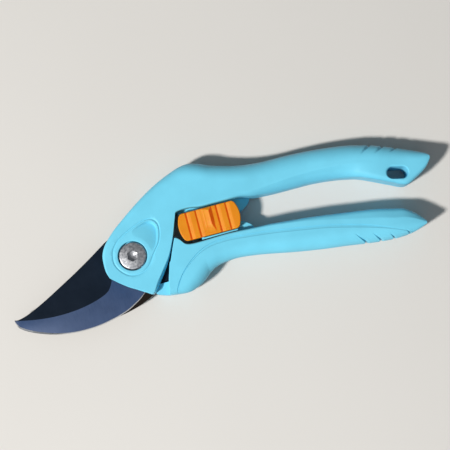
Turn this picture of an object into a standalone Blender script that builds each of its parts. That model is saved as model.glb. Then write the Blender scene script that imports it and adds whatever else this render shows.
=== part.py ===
"""Bypass pruner, 200 mm long, lying on its back face.

+X runs from the blade tip towards the handle ends, +Y from the lower handle
towards the upper handle, +Z up out of the face with the pivot screw.
The origin is the bottom centre of the closed tool. Dimensions are in mm.

How it comes apart: the upper handle carries the hook (counter blade) and the
sliding lock; the lower handle carries the cutting blade, a moulded grip cover
and the nut side of the pivot. A coil spring between the handles opens them.
"""

import math

import bmesh
import bpy
from mathutils import Vector

MM = 0.001

# ---------------------------------------------------------------- dimensions
PIVOT = (-40.6, -2.3)          # axis of the pivot screw
THICK = 15.5                   # handle thickness, back face at z = 0
CHEEK_BACK = 4.6               # lower handle's cheek: z 0 .. 4.6
HOOK_Z = (4.9, 7.6)            # counter blade
BLADE_Z = (7.9, 10.7)          # cutting blade
CHEEK_FRONT = 11.0             # underside of the upper handle's cheek
CLEAR = 0.35                   # play round inserted plates and pins
SWING_R = 24.6                 # swept radius kept free round the pivot

HEAD_D, HEAD_Z = 12.05, (13.65, 15.8)     # pivot screw head
BORE_D, BORE_Z = 13.05, 12.9              # its counterbore
SHANK_D, THREAD_D = 6.0, 5.4
SLEEVE_D = (6.6, 9.0)
NUT_AF, NUT_Z = 10.5, (0.3, 2.5)

WEB_Z = (0.6, 9.6)             # recessed webs between the handles
SPRING_X, SPRING_Z = 2.5, 5.1  # axis of the return spring, along Y
SPRING_Y = (-8.3, 14.7)        # its two seats
SPRING_D, WIRE_D, SPRING_TURNS = 6.6, 1.0, 9.5

LOCK_C = (-3.4, 2.2)           # centre of the lock slide
LOCK_TILT = math.radians(-3.1)
LOCK_HALF = (14.1, 6.3)
LOCK_Z = (11.6, 14.0)
LOCK_TRAVEL = 5.5

HANG_C, HANG_TILT = (83.4, -3.1), math.radians(-16.0)
HANG_SIZE = (10.4, 6.0)

# ---------------------------------------------------------------- scene setup
for old in list(bpy.data.objects):
    bpy.data.objects.remove(old, do_unlink=True)

PARTS = bpy.data.collections.new("bypass_pruner")
CUTTERS = bpy.data.collections.new("cutters")
bpy.context.scene.collection.children.link(PARTS)
bpy.context.scene.collection.children.link(CUTTERS)


def material(name, colour, roughness, metallic=0.0):
    mat = bpy.data.materials.new(name)
    mat.use_nodes = True
    bsdf = mat.node_tree.nodes["Principled BSDF"]
    bsdf.inputs["Base Color"].default_value = (*colour, 1.0)
    bsdf.inputs["Roughness"].default_value = roughness
    bsdf.inputs["Metallic"].default_value = metallic
    mat.diffuse_color = (*colour, 1.0)
    return mat


HANDLE_BLUE = material("handle_plastic", (0.17, 0.61, 0.80), 0.45)
GRIP_BLUE = material("grip_plastic", (0.17, 0.62, 0.82), 0.55)
LOCK_ORANGE = material("lock_plastic", (0.82, 0.27, 0.03), 0.42)
COATED = material("coated_blade_steel", (0.016, 0.02, 0.03), 0.45, 0.6)
HOOK_STEEL = material("hook_steel", (0.04, 0.035, 0.03), 0.45, 0.7)
BOLT_STEEL = material("bolt_steel", (0.55, 0.57, 0.60), 0.35, 1.0)
SPRING_STEEL = material("spring_steel", (0.45, 0.46, 0.48), 0.3, 1.0)
BRONZE = material("sleeve_bronze", (0.45, 0.30, 0.14), 0.4, 1.0)
POLYMER = material("friction_polymer", (0.75, 0.75, 0.72), 0.5)


# ---------------------------------------------------------------- helpers
def add(obj, coll=PARTS, mat=None):
    for c in list(obj.users_collection):
        c.objects.unlink(obj)
    coll.objects.link(obj)
    if coll is CUTTERS:
        obj.hide_render = True
        obj.display_type = "WIRE"
    if mat is not None:
        obj.data.materials.clear()
        obj.data.materials.append(mat)
    return obj


def smooth(points, steps=6, closed=False):
    """Catmull-Rom curve through rows of numbers; a row ending in 'c' is a corner."""
    rows = [tuple(v for v in p if v != "c") for p in points]
    corner = [p[-1] == "c" for p in points]
    n, out = len(rows), []
    for i in range(n if closed else n - 1):
        p1, p2 = rows[i], rows[(i + 1) % n]
        before, after = i - 1, i + 2
        if closed:
            before, after = before % n, after % n
        p0 = p1 if (corner[i] or (not closed and i == 0)) else rows[before]
        p3 = p2 if (corner[(i + 1) % n] or (not closed and i == n - 2)) else rows[after]
        for k in range(steps):
            t = k / steps
            out.append(tuple(
                0.5 * (2 * b + (c - a) * t + (2 * a - 5 * b + 4 * c - d) * t * t
                       + (3 * b - a - 3 * c + d) * t ** 3)
                for a, b, c, d in zip(p0, p1, p2, p3)))
    if not closed:
        out.append(rows[-1])
    return out


def area(points):
    return 0.5 * sum(a[0] * b[1] - b[0] * a[1] for a, b in zip(points, points[1:] + points[:1]))


def grow(points, by):
    """An outline moved outwards by a constant amount."""
    side = 1.0 if area(points) > 0 else -1.0
    out = []
    for i, p in enumerate(points):
        a, b = points[i - 1], points[(i + 1) % len(points)]
        dx, dy = b[0] - a[0], b[1] - a[1]
        length = math.hypot(dx, dy) or 1.0
        out.append((p[0] + side * by * dy / length, p[1] - side * by * dx / length))
    return out


def around(centre, radius, start, end, count):
    """Points on an arc, angles in degrees."""
    return [(centre[0] + radius * math.cos(math.radians(start + (end - start) * i / (count - 1))),
             centre[1] + radius * math.sin(math.radians(start + (end - start) * i / (count - 1))))
            for i in range(count)]


def plate(name, points, z, coll=CUTTERS, mat=None, place=None):
    """A flat outline with thickness, made from a filled 2D curve and turned into a mesh."""
    curve = bpy.data.curves.new(name, "CURVE")
    curve.dimensions = "2D"
    curve.fill_mode = "BOTH"
    curve.extrude = 0.5 * (z[1] - z[0]) * MM
    line = curve.splines.new("POLY")
    line.points.add(len(points) - 1)
    for target, p in zip(line.points, points):
        target.co = (p[0] * MM, p[1] * MM, 0.0, 1.0)
    line.use_cyclic_u = True
    guide = bpy.data.objects.new(name + "_outline", curve)
    bpy.context.scene.collection.objects.link(guide)
    guide.location = (0.0, 0.0, 0.5 * (z[0] + z[1]) * MM)
    bpy.context.view_layer.update()
    mesh = bpy.data.meshes.new_from_object(guide.evaluated_get(bpy.context.evaluated_depsgraph_get()))
    shift = guide.matrix_world.copy()
    bpy.data.objects.remove(guide, do_unlink=True)
    bpy.data.curves.remove(curve)
    bm = bmesh.new()
    bm.from_mesh(mesh)
    bmesh.ops.remove_doubles(bm, verts=bm.verts, dist=1e-7)
    bmesh.ops.transform(bm, matrix=shift, verts=bm.verts)
    bmesh.ops.recalc_face_normals(bm, faces=bm.faces)
    bm.to_mesh(mesh)
    bm.free()
    mesh.name = name
    obj = bpy.data.objects.new(name, mesh)
    if place is not None:
        obj.location = (place[0] * MM, place[1] * MM, 0.0)
        obj.rotation_euler = (0.0, 0.0, place[2] if len(place) > 2 else 0.0)
    return add(obj, coll, mat)


def rod(name, diameter, z, at=(0.0, 0.0), sides=32, coll=CUTTERS, mat=None, turn=0.0):
    """A round or many-sided bar standing along Z."""
    bpy.ops.mesh.primitive_cylinder_add(
        vertices=sides, radius=0.5 * diameter * MM, depth=(z[1] - z[0]) * MM,
        location=(at[0] * MM, at[1] * MM, 0.5 * (z[0] + z[1]) * MM), rotation=(0.0, 0.0, turn))
    obj = bpy.context.active_object
    obj.name = obj.data.name = name
    return add(obj, coll, mat)


def rod_y(name, diameter, y, x, z, sides=28, coll=CUTTERS, mat=None):
    """A round bar lying along Y."""
    bpy.ops.mesh.primitive_cylinder_add(
        vertices=sides, radius=0.5 * diameter * MM, depth=(y[1] - y[0]) * MM,
        location=(x * MM, 0.5 * (y[0] + y[1]) * MM, z * MM), rotation=(math.pi / 2, 0.0, 0.0))
    obj = bpy.context.active_object
    obj.name = obj.data.name = name
    return add(obj, coll, mat)


def block(name, x, y, z, coll=CUTTERS, mat=None):
    bpy.ops.mesh.primitive_cube_add(
        size=1.0, location=(0.5 * (x[0] + x[1]) * MM, 0.5 * (y[0] + y[1]) * MM, 0.5 * (z[0] + z[1]) * MM))
    obj = bpy.context.active_object
    obj.name = obj.data.name = name
    obj.scale = ((x[1] - x[0]) * MM, (y[1] - y[0]) * MM, (z[1] - z[0]) * MM)
    return add(obj, coll, mat)


def boolean(obj, other, operation):
    mod = obj.modifiers.new(operation.lower() + "_" + other.name, "BOOLEAN")
    mod.operation = operation
    mod.solver = "EXACT"
    mod.object = other
    return obj


def cut(obj, *others):
    for other in others:
        boolean(obj, other, "DIFFERENCE")
    return obj


def join(obj, *others):
    for other in others:
        boolean(obj, other, "UNION")
    return obj


def section(row, inset=0.0):
    """Rounded cross-section between an outer point A and an inner point B.
    row = Ax, Ay, Bx, By, radius at A, radius at B, z low, z high."""
    ax, ay, bx, by, ra, rb, z0, z1 = row
    width = math.hypot(bx - ax, by - ay)
    ux, uy = (bx - ax) / width, (by - ay) / width
    z0, z1, width = max(z0, 0.0) + inset, z1 - inset, width - 2 * inset
    half = 0.5 * (z1 - z0) - 0.02
    ra, rb = max(0.3, ra - inset), max(0.3, rb - inset)
    points = []
    for side, radius in ((0, ra), (1, rb)):
        rh = min(radius, 0.48 * width)
        rv = min(radius, half)
        for top in ((1, 0) if side else (0, 1)):
            for k in range(4):
                a = math.pi / 2 * k / 3
                if side == 0:
                    # from the bottom face round the A side to the top face
                    c, s = (math.sin(a), math.cos(a)) if not top else (math.cos(a), math.sin(a))
                    t = rh * (1 - c)
                else:
                    c, s = (math.sin(a), math.cos(a)) if top else (math.cos(a), math.sin(a))
                    t = width - rh * (1 - c)
                z = z1 - rv * (1 - s) if top else z0 + rv * (1 - s)
                points.append((ax + ux * (inset + t), ay + uy * (inset + t), z))
    return points


def loft(name, rows, steps=3, inset=0.0, coll=PARTS, mat=None):
    """A skin over the rounded sections of a handle, capped at both ends."""
    bm = bmesh.new()
    rings = [[bm.verts.new(Vector(p) * MM) for p in section(r, inset)] for r in smooth(rows, steps)]
    n = len(rings[0])
    for a, b in zip(rings, rings[1:]):
        for i in range(n):
            j = (i + 1) % n
            bm.faces.new((a[i], a[j], b[j], b[i]))
    bm.faces.new(rings[0][::-1])
    bm.faces.new(rings[-1])
    bmesh.ops.remove_doubles(bm, verts=bm.verts, dist=1e-6)
    bmesh.ops.recalc_face_normals(bm, faces=bm.faces)
    mesh = bpy.data.meshes.new(name)
    bm.to_mesh(mesh)
    bm.free()
    return add(bpy.data.objects.new(name, mesh), coll, mat)


def rings_of(name, rings, coll=PARTS, mat=None):
    """A skin over rings of equal point count, capped at both ends."""
    bm = bmesh.new()
    loops = [[bm.verts.new(Vector(p) * MM) for p in ring] for ring in rings]
    n = len(loops[0])
    for a, b in zip(loops, loops[1:]):
        for i in range(n):
            bm.faces.new((a[i], a[(i + 1) % n], b[(i + 1) % n], b[i]))
    bm.faces.new(loops[0][::-1])
    bm.faces.new(loops[-1])
    bmesh.ops.recalc_face_normals(bm, faces=bm.faces)
    mesh = bpy.data.meshes.new(name)
    bm.to_mesh(mesh)
    bm.free()
    return add(bpy.data.objects.new(name, mesh), coll, mat)


def in_lock(u, v):
    """A point given along (u) and across (v, towards the lower handle) the lock slide."""
    c, s = math.cos(LOCK_TILT), math.sin(LOCK_TILT)
    return (LOCK_C[0] + u * c + v * s, LOCK_C[1] + u * s - v * c)


def lock_box(name, u, v, z, coll=CUTTERS, mat=None):
    return plate(name, [in_lock(u[0], v[0]), in_lock(u[0], v[1]), in_lock(u[1], v[1]), in_lock(u[1], v[0])],
                 z, coll, mat)


# ---------------------------------------------------------------- cutting blade
# spine x, y | bevel line x, y | cutting edge x, y, from the tip to the ricasso
BLADE_ROWS = [
    (-99.5, -13.2, -99.5, -13.5, -99.9, -14.2),
    (-97.4, -13.5, -97.0, -14.2, -98.4, -17.5),
    (-92.0, -12.2, -90.0, -15.9, -92.6, -21.3),
    (-84.0, -9.0, -82.0, -17.1, -84.4, -24.6),
    (-76.0, -5.3, -74.5, -17.4, -75.4, -26.6),
    (-68.0, -1.5, -68.0, -17.0, -66.0, -27.1),
    (-60.0, 2.6, -61.5, -15.8, -57.5, -26.2),
    (-53.6, 6.1, -56.2, -13.8, -50.6, -24.6),
    (-50.2, 7.9, -53.3, -10.2, -46.4, -22.8),
    (-47.0, 8.9, -51.0, -5.0, -43.0, -21.0),
    (-42.0, 9.4, -40.7, -3.0, -39.0, -18.1),
]
TANG = [
    (-47.0, 8.0), (-41.5, 9.6), (-35.0, 8.2), (-30.5, 3.6), (-27.3, -1.6), (-22.0, -6.0),
    (-14.0, -8.4), (-4.6, -9.4), (-2.6, -11.6), (-4.8, -14.4), (-14.0, -16.6), (-24.0, -15.8),
    (-31.0, -14.8), (-36.0, -15.8), (-39.3, -17.9, "c"), (-44.0, -13.6), (-47.6, -5.0),
]
tang_line = smooth(TANG, 4, closed=True)
z0, z1 = BLADE_Z
blade = rings_of("cutting_blade", [
    [(sx, sy, z0), (sx, sy, z1), (cx, cy, z1), (ex, ey, z0 + 0.4), (ex, ey, z0)]
    for sx, sy, cx, cy, ex, ey in smooth(BLADE_ROWS, 4)], mat=COATED)
blade_tang = plate("blade_tang", tang_line, (z0 + 0.02, z1 - 0.02))
join(blade, blade_tang)
cut(blade, rod("blade_bore", 9.6, (z0 - 1, z1 + 1), PIVOT))

# ---------------------------------------------------------------- counter blade
HOOK = [
    (-88.6, -17.4, "c"), (-82.0, -19.0), (-74.0, -19.8), (-66.0, -19.0), (-59.0, -16.0), (-54.2, -11.4),
    (-51.8, -6.2), (-51.2, 0.0), (-47.4, 6.0), (-41.5, 8.8), (-35.5, 9.4), (-30.0, 12.4), (-24.0, 16.8),
    (-16.0, 20.8), (-8.0, 22.4), (-4.6, 20.2), (-6.0, 17.2), (-13.0, 14.0), (-19.0, 9.6), (-24.2, 3.4),
    (-27.4, -4.0), (-28.4, -13.0), (-28.6, -20.4, "c"), (-33.0, -20.8), (-37.0, -21.3), (-40.6, -22.6),
    (-44.6, -23.9), (-52.0, -25.3), (-62.0, -25.9), (-74.0, -24.8), (-83.0, -21.6),
]
hook_line = smooth(HOOK, 4, closed=True)
hook = plate("counter_blade", hook_line, HOOK_Z, PARTS, HOOK_STEEL)
cut(hook, rod("hook_bore", 9.6, (HOOK_Z[0] - 1, HOOK_Z[1] + 1), PIVOT))

# ---------------------------------------------------------------- pins
HOOK_PINS = ((-18.0, 15.4), (-9.0, 19.4))
BLADE_PINS = ((-19.0, -11.6), (-8.4, -11.8))
PIN_D, PIN_Z = 3.0, (0.6, 11.3)
for i, at in enumerate(HOOK_PINS):
    rod("hook_pin_%d" % (i + 1), PIN_D, PIN_Z, at, 20, PARTS, BOLT_STEEL)
    cut(hook, rod("hook_pin_hole_%d" % i, PIN_D + 0.6, (3.0, 9.0), at, 20))
for i, at in enumerate(BLADE_PINS):
    rod("blade_pin_%d" % (i + 1), PIN_D, PIN_Z, at, 20, PARTS, BOLT_STEEL)
    cut(blade, rod("blade_pin_hole_%d" % i, PIN_D + 0.6, (6.5, 12.0), at, 20))

# ---------------------------------------------------------------- upper handle
# outer edge x, y | inner edge x, y | edge radii outer, inner | z low, high
T = THICK
UPPER_ROWS = [
    (-53.2, -8.8, -52.3, -9.7, 0.5, 0.5, 0.0, T),
    (-54.1, -5.4, -49.9, -12.0, 1.4, 0.9, 0.0, T),
    (-54.0, -1.2, -46.5, -14.9, 1.8, 1.0, 0.0, T),
    (-53.2, 2.5, -43.0, -17.3, 2.0, 1.0, 0.0, T),
    (-50.7, 6.4, -39.7, -19.6, 2.0, 1.0, 0.0, T),
    (-45.6, 11.0, -36.3, -21.0, 2.2, 0.8, 0.0, T),
    (-39.7, 15.0, -33.2, -17.4, 2.4, 0.8, 0.0, T),
    (-32.7, 19.4, -28.5, -12.1, 2.8, 0.7, 0.0, T),
    (-25.8, 23.3, -24.6, -5.6, 3.2, 0.6, 0.0, T),
    (-19.8, 26.1, -21.3, 1.4, 3.6, 0.6, 0.0, T),
    (-13.9, 28.4, -18.2, 7.4, 4.2, 0.8, 0.0, T),
    (-9.0, 29.8, -15.9, 10.9, 4.8, 1.2, 0.0, T),
    (-5.0, 30.0, -10.8, 11.0, 5.2, 1.5, 0.0, T),
    (-0.5, 28.7, -5.0, 10.4, 5.6, 1.6, 0.0, T),
    (4.0, 26.6, 1.0, 9.8, 6.0, 1.8, 0.0, T),
    (9.0, 24.7, 7.0, 9.0, 6.3, 2.2, 0.0, T),
    (14.0, 23.1, 13.0, 8.3, 6.5, 2.8, 0.0, T),
    (20.0, 21.7, 18.5, 6.8, 6.6, 3.6, 0.0, T),
    (28.0, 20.6, 27.0, 5.7, 6.6, 4.2, 0.0, T),
    (38.0, 20.0, 37.0, 5.1, 6.6, 4.2, 0.0, T),
    (48.0, 19.0, 46.0, 4.6, 6.6, 4.2, 0.0, T),
    (58.0, 17.5, 55.0, 3.3, 6.6, 4.2, 0.0, T),
    (66.0, 15.9, 62.0, 1.7, 6.4, 4.0, 0.0, T),
    (72.0, 14.0, 67.0, 0.1, 6.2, 4.0, 0.0, T),
    (78.0, 11.9, 72.5, -2.7, 6.0, 3.8, 0.1, T - 0.1),
    (84.0, 9.1, 79.6, -6.6, 5.6, 3.6, 0.2, T - 0.2),
    (90.0, 6.1, 85.5, -9.4, 5.0, 3.4, 0.4, T - 0.4),
    (95.0, 3.5, 91.0, -7.7, 4.2, 3.2, 0.6, T - 0.6),
    (98.0, 1.5, 96.2, -4.8, 2.6, 2.2, 0.9, T - 0.9),
    (99.3, 0.1, 98.9, -1.9, 0.8, 0.8, 1.3, T - 1.3),
]
upper = loft("upper_handle", UPPER_ROWS, 2, mat=HANDLE_BLUE)

UPPER_WEB = [(-16.0, 13.4, "c"), (-16.2, 3.4, "c"), (-3.4, 2.6, "c"), (8.8, 1.9), (11.6, 2.7), (14.0, 3.9),
             (16.0, 5.4), (17.0, 7.4), (17.0, 10.0, "c")]
join(upper, plate("upper_web", smooth(UPPER_WEB, 3, closed=True), WEB_Z))

# everything below the front cheek is open round the pivot, where plates swing
swing = around(PIVOT, SWING_R, 80, -75, 28) + [(-50, -60), (-80, -60), (-80, 60), (-50, 60)]
cut(upper, plate("upper_swing_room", swing, (-2.0, CHEEK_FRONT)))
# slot for the counter blade's tang, and its pins from the back
cut(upper, plate("hook_slot", grow(hook_line, CLEAR), (HOOK_Z[0] - CLEAR, HOOK_Z[1] + CLEAR)))
for i, at in enumerate(HOOK_PINS):
    cut(upper, rod("upper_pin_hole_%d" % i, PIN_D + 0.6, (-1.0, PIN_Z[1] + 0.4), at, 20))
# pivot: counterbore, bore, and a seat for the friction disc
cut(upper, rod("upper_counterbore", BORE_D, (BORE_Z, T + 2), PIVOT, 48))
cut(upper, rod("upper_bore", 9.6, (CHEEK_FRONT - 1, BORE_Z + 1), PIVOT))
cut(upper, rod("disc_seat", 18.8, (CHEEK_FRONT - 1, CHEEK_FRONT + 0.55), PIVOT, 40))
# shallow teardrop dish round the screw, with a round boss left standing
DISH = [(-48.0, 2.6), (-43.2, 7.6), (-35.4, 10.4), (-29.4, 10.4), (-27.4, 5.6), (-28.6, 0.0), (-33.6, -6.4),
        (-41.0, -9.6), (-47.2, -7.0), (-49.2, -2.2)]
dish = plate("dish", smooth(DISH, 4, closed=True), (T - 0.5, T + 1))
cut(dish, rod("dish_boss", 15.0, (T - 3, T + 3), PIVOT, 40))
cut(upper, dish)
# hanging hole through the end
hang = []
for side in (1, -1):
    hang += [(HANG_C[0] + math.cos(HANG_TILT) * side * 0.5 * (HANG_SIZE[0] - HANG_SIZE[1]) + p[0],
              HANG_C[1] + math.sin(HANG_TILT) * side * 0.5 * (HANG_SIZE[0] - HANG_SIZE[1]) + p[1])
             for p in around((0, 0), 0.5 * HANG_SIZE[1], math.degrees(HANG_TILT) - 90 * side,
                             math.degrees(HANG_TILT) + 180 - 90 * side, 13)]
cut(upper, plate("hang_hole", hang, (-2.0, T + 2)))
# three slanted grip notches on the outer edge
for i, (x, y) in enumerate(((74.2, 12.9), (79.9, 10.9), (86.0, 8.3))):
    cut(upper, plate("upper_notch_%d" % i, [(-2.6, -0.5), (2.6, -0.5), (2.6, 0.6), (-2.6, 0.6)],
                     (3.5, T - 3.5), place=(x, y + 0.6, math.radians(-38))))

# ---------------------------------------------------------------- lock guide in the upper web
POST_U, POST_V = (-11.0, -6.0), (-6.3, -2.3)
RET_Z = (1.3, 2.6)
cut(upper, lock_box("post_slot", (POST_U[0] - 0.3, POST_U[1] + LOCK_TRAVEL + 0.3), (POST_V[0] - 0.3, POST_V[1] + 0.3),
                    (-1.0, 12.0)))
cut(upper, lock_box("retainer_room", (-12.6, 3.6 - 2.2), (-8.0, -0.9), (-1.0, 3.0)))
# return spring seat
cut(upper, rod_y("upper_spring_bore", SPRING_D + 0.8, (-2.0, SPRING_Y[1] + 0.3), SPRING_X, SPRING_Z))
# notch for the detent leaf beside the post
cut(upper, lock_box("leaf_notch", (-11.6, -1.0), (-8.2, POST_V[0] + 0.5), (3.4, 8.4)))

# ---------------------------------------------------------------- lower handle
L = 15.3
LOWER_ROWS = [
    (-36.0, -20.2, -35.6, -21.6, 0.5, 0.5, 0.0, L),
    (-32.4, -16.4, -33.1, -22.7, 0.9, 1.6, 0.0, L),
    (-28.8, -10.6, -30.1, -23.7, 0.9, 2.4, 0.0, L),
    (-25.4, -5.2, -26.4, -24.4, 0.9, 3.4, 0.0, L),
    (-22.9, -2.3, -23.0, -24.9, 0.9, 4.2, 0.0, L),
    (-20.8, 0.3, -20.4, -24.9, 0.9, 4.8, 0.0, L),
    (-18.7, -0.9, -17.8, -24.2, 1.0, 5.2, 0.0, L),
    (-16.7, -3.6, -15.2, -23.2, 1.0, 5.6, 0.0, L),
    (-13.8, -4.6, -12.3, -21.5, 1.2, 5.9, 0.0, L),
    (-9.0, -5.0, -9.4, -19.4, 1.3, 6.0, 0.0, L),
    (-3.0, -5.4, -5.6, -17.7, 1.4, 6.2, 0.0, L),
    (3.0, -5.8, -1.0, -17.1, 1.6, 6.3, 0.0, L),
    (9.0, -6.3, 4.0, -17.1, 1.9, 6.4, 0.0, L),
    (15.0, -6.9, 10.0, -18.0, 2.4, 6.5, 0.0, L),
    (22.0, -7.5, 17.0, -19.5, 3.0, 6.5, 0.0, L),
    (30.0, -8.6, 26.0, -21.8, 3.4, 6.5, 0.0, L),
    (38.0, -9.7, 35.0, -23.9, 3.6, 6.5, 0.0, L),
    (46.0, -11.1, 44.0, -25.7, 3.8, 6.5, 0.0, L),
    (54.0, -12.6, 52.0, -27.1, 4.0, 6.4, 0.0, L),
    (62.0, -14.1, 60.0, -28.7, 4.0, 6.2, 0.0, L),
    (70.0, -15.8, 67.5, -30.0, 4.0, 6.0, 0.1, L - 0.1),
    (76.0, -17.6, 74.0, -30.8, 3.8, 5.6, 0.2, L - 0.2),
    (80.9, -19.1, 79.0, -30.9, 3.4, 5.0, 0.4, L - 0.4),
    (84.5, -21.8, 83.6, -30.4, 2.8, 3.6, 0.7, L - 0.7),
    (87.3, -25.0, 86.8, -29.5, 1.6, 2.0, 1.1, L - 1.1),
    (88.9, -27.6, 88.6, -28.8, 0.5, 0.5, 1.5, L - 1.5),
]
lower = loft("lower_handle", LOWER_ROWS, 2, mat=HANDLE_BLUE)

# the seam line on the face; everything outside it is the moulded grip cover
SEAM = [(-27.2, -27.0, "c"), (-26.3, -24.2), (-25.0, -21.2), (-21.9, -17.2), (-18.6, -14.3), (-14.4, -11.6),
        (-10.5, -9.9), (-5.9, -8.9), (0.5, -8.8), (6.7, -9.5), (19.5, -11.5), (33.6, -14.4), (46.6, -17.4),
        (59.3, -21.3), (67.8, -24.3), (75.9, -27.7), (81.5, -30.6, "c"), (81.5, -40.0, "c"), (-27.2, -40.0, "c")]
seam_line = smooth(SEAM, 4, closed=True)
outside = plate("grip_side", seam_line, (-2.0, 20.0))
outside_wide = plate("grip_side_clearance", grow(seam_line, 0.3), (-3.0, 21.0))
# the handle's core runs on inside the cover as a rib
rib_rows = [r for r in LOWER_ROWS if -21.0 < r[0] < 78.0]
rib_cut = loft("cover_groove", rib_rows, 2, inset=2.9, coll=CUTTERS)
rib = loft("core_rib", rib_rows, 2, inset=3.25, coll=CUTTERS)
trim = plate("rib_trim", [(-16.0, 2.0), (-16.0, -40.0), (74.0, -40.0), (74.0, 2.0)], (-2.0, 20.0))
trim_wide = plate("rib_trim_clearance", [(-16.4, 2.0), (-16.4, -40.0), (74.4, -40.0), (74.4, 2.0)], (-2.1, 20.1))
boolean(rib, trim, "INTERSECT")
boolean(rib_cut, trim_wide, "INTERSECT")

# back cheek round the pivot
CHEEK = around(PIVOT, 12.8, 70, 262, 26) + [(-37.0, -16.8), (-33.0, -20.2), (-26.0, -22.0), (-16.0, -19.0),
                                            (-13.0, -12.0), (-15.0, -6.0), (-19.0, -1.6), (-24.0, 1.4), (-29.0, 6.0)]
join(lower, plate("back_cheek", CHEEK, (0.02, CHEEK_BACK)))
cut(lower, outside_wide)
join(lower, rib)
LOWER_WEB = [(-8.8, -7.5, "c"), (-8.8, 1.5, "c"), (-3.0, 1.4), (7.0, 0.6), (9.6, -1.6), (12.2, -3.0),
             (14.4, -5.0), (15.4, -8.0, "c")]
lower_web = plate("lower_web", smooth(LOWER_WEB, 3, closed=True), WEB_Z)
join(lower_web, lock_box("catch_boss", (-5.0, 1.0), (0.8, 2.8), (WEB_Z[1] - 1.0, 11.3)))
join(lower_web, lock_box("lock_ledge", (-5.2, 11.2), (6.6, 7.3), (WEB_Z[1] - 1.0, 13.0)))
join(lower, lower_web)
# step under the head, and the layers where the plates swing
STEP = [(-18.4, 6.0, "c"), (-20.1, 2.4), (-21.7, -0.9), (-23.7, -5.8), (-26.1, -12.0), (-28.5, -18.8),
        (-29.4, -24.0), (-29.8, -30.0, "c"), (-70.0, -30.0, "c"), (-70.0, 6.0, "c")]
cut(lower, plate("head_room", smooth(STEP, 4, closed=True), (BLADE_Z[1], L + 2)))
hook_room = plate("hook_room", around(PIVOT, SWING_R, 0, 360, 73)[:-1], (CHEEK_BACK, BLADE_Z[0] - 0.3))
cut(lower, hook_room)
tang_slot = plate("tang_slot", grow(tang_line, CLEAR), (BLADE_Z[0] - 0.31, BLADE_Z[1] + CLEAR))
cut(lower, tang_slot)
for i, at in enumerate(BLADE_PINS):
    cut(lower, rod("lower_pin_hole_%d" % i, PIN_D + 0.6, (-1.0, PIN_Z[1] + 0.4), at, 20))
# hexagonal nut pocket and bore
cut(lower, rod("nut_pocket", 11.2 / math.cos(math.pi / 6), (-1.0, 3.6), PIVOT, 6, turn=math.radians(12)))
cut(lower, rod("lower_bore", 9.6, (3.0, CHEEK_BACK + 1), PIVOT))
cut(lower, rod_y("lower_spring_bore", SPRING_D + 0.8, (SPRING_Y[0] - 0.3, 4.0), SPRING_X, SPRING_Z))

# ---------------------------------------------------------------- grip cover
grip = loft("lower_grip", LOWER_ROWS, 2, mat=GRIP_BLUE)
boolean(grip, outside, "INTERSECT")
cut(grip, rib_cut, tang_slot, hook_room)
for i, (x, y) in enumerate(((61.0, -28.0), (67.8, -29.2), (74.4, -29.8))):
    cut(grip, plate("lower_notch_%d" % i, [(-2.6, -0.6), (2.6, -0.6), (2.6, 0.5), (-2.6, 0.5)],
                    (3.5, L - 3.5), place=(x, y - 0.5, math.radians(-52))))
for i, at in enumerate(BLADE_PINS):
    cut(grip, rod("grip_pin_hole_%d" % i, PIN_D + 1.2, (-1.0, 8.0), at, 20))

# ---------------------------------------------------------------- pivot stack
def turned(name, profile, mat, at=PIVOT, steps=32):
    """A turned piece: a closed profile of (radius, z) turned about a vertical axis."""
    mesh = bpy.data.meshes.new(name)
    n = len(profile)
    mesh.from_pydata([(r * MM, 0.0, z * MM) for r, z in profile], [(i, (i + 1) % n) for i in range(n)], [])
    obj = bpy.data.objects.new(name, mesh)
    add(obj, PARTS, mat)
    obj.location = (at[0] * MM, at[1] * MM, 0.0)
    screw = obj.modifiers.new("turn", "SCREW")
    screw.steps = screw.render_steps = steps
    screw.use_merge_vertices = True
    screw.merge_threshold = 0.00001
    return obj


def ring(name, inner, outer, z, mat, steps=32):
    """A washer, disc or sleeve; the outer side runs from top to bottom."""
    ri, ro = 0.5 * inner, 0.5 * outer
    return turned(name, [(ro, z[1]), (ro, z[0]), (ri, z[0]), (ri, z[1])], mat, steps=steps)


bolt = rod("pivot_bolt", HEAD_D, HEAD_Z, PIVOT, 48, PARTS, BOLT_STEEL)
edge = bolt.modifiers.new("head_edge", "BEVEL")
edge.width = 0.25 * MM
edge.segments = 1
edge.limit_method = "ANGLE"
join(bolt, rod("bolt_shank", SHANK_D, (2.9, HEAD_Z[0] + 0.8), PIVOT, 32))
join(bolt, rod("bolt_thread", THREAD_D, (0.45, 3.4), PIVOT, 32))
cut(bolt, rod("bolt_socket", 4.8 / math.cos(math.pi / 6), (HEAD_Z[1] - 1.6, HEAD_Z[1] + 1), PIVOT, 6,
              turn=math.radians(18)))

nut = rod("pivot_nut", NUT_AF / math.cos(math.pi / 6), NUT_Z, PIVOT, 6, PARTS, BOLT_STEEL, turn=math.radians(12))
cut(nut, rod("nut_bore", THREAD_D + 0.6, (NUT_Z[0] - 1, NUT_Z[1] + 1), PIVOT, 32))
ring("nut_washer", 6.6, 10.3, (2.75, 3.3), BOLT_STEEL)
ring("pivot_sleeve", SLEEVE_D[0], SLEEVE_D[1], (3.6, 12.7), BRONZE)
ring("friction_disc", 9.8, 18.0, (10.98, 11.3), POLYMER)
ring("head_washer", 6.6, 12.4, (13.05, 13.4), BOLT_STEEL)

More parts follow.
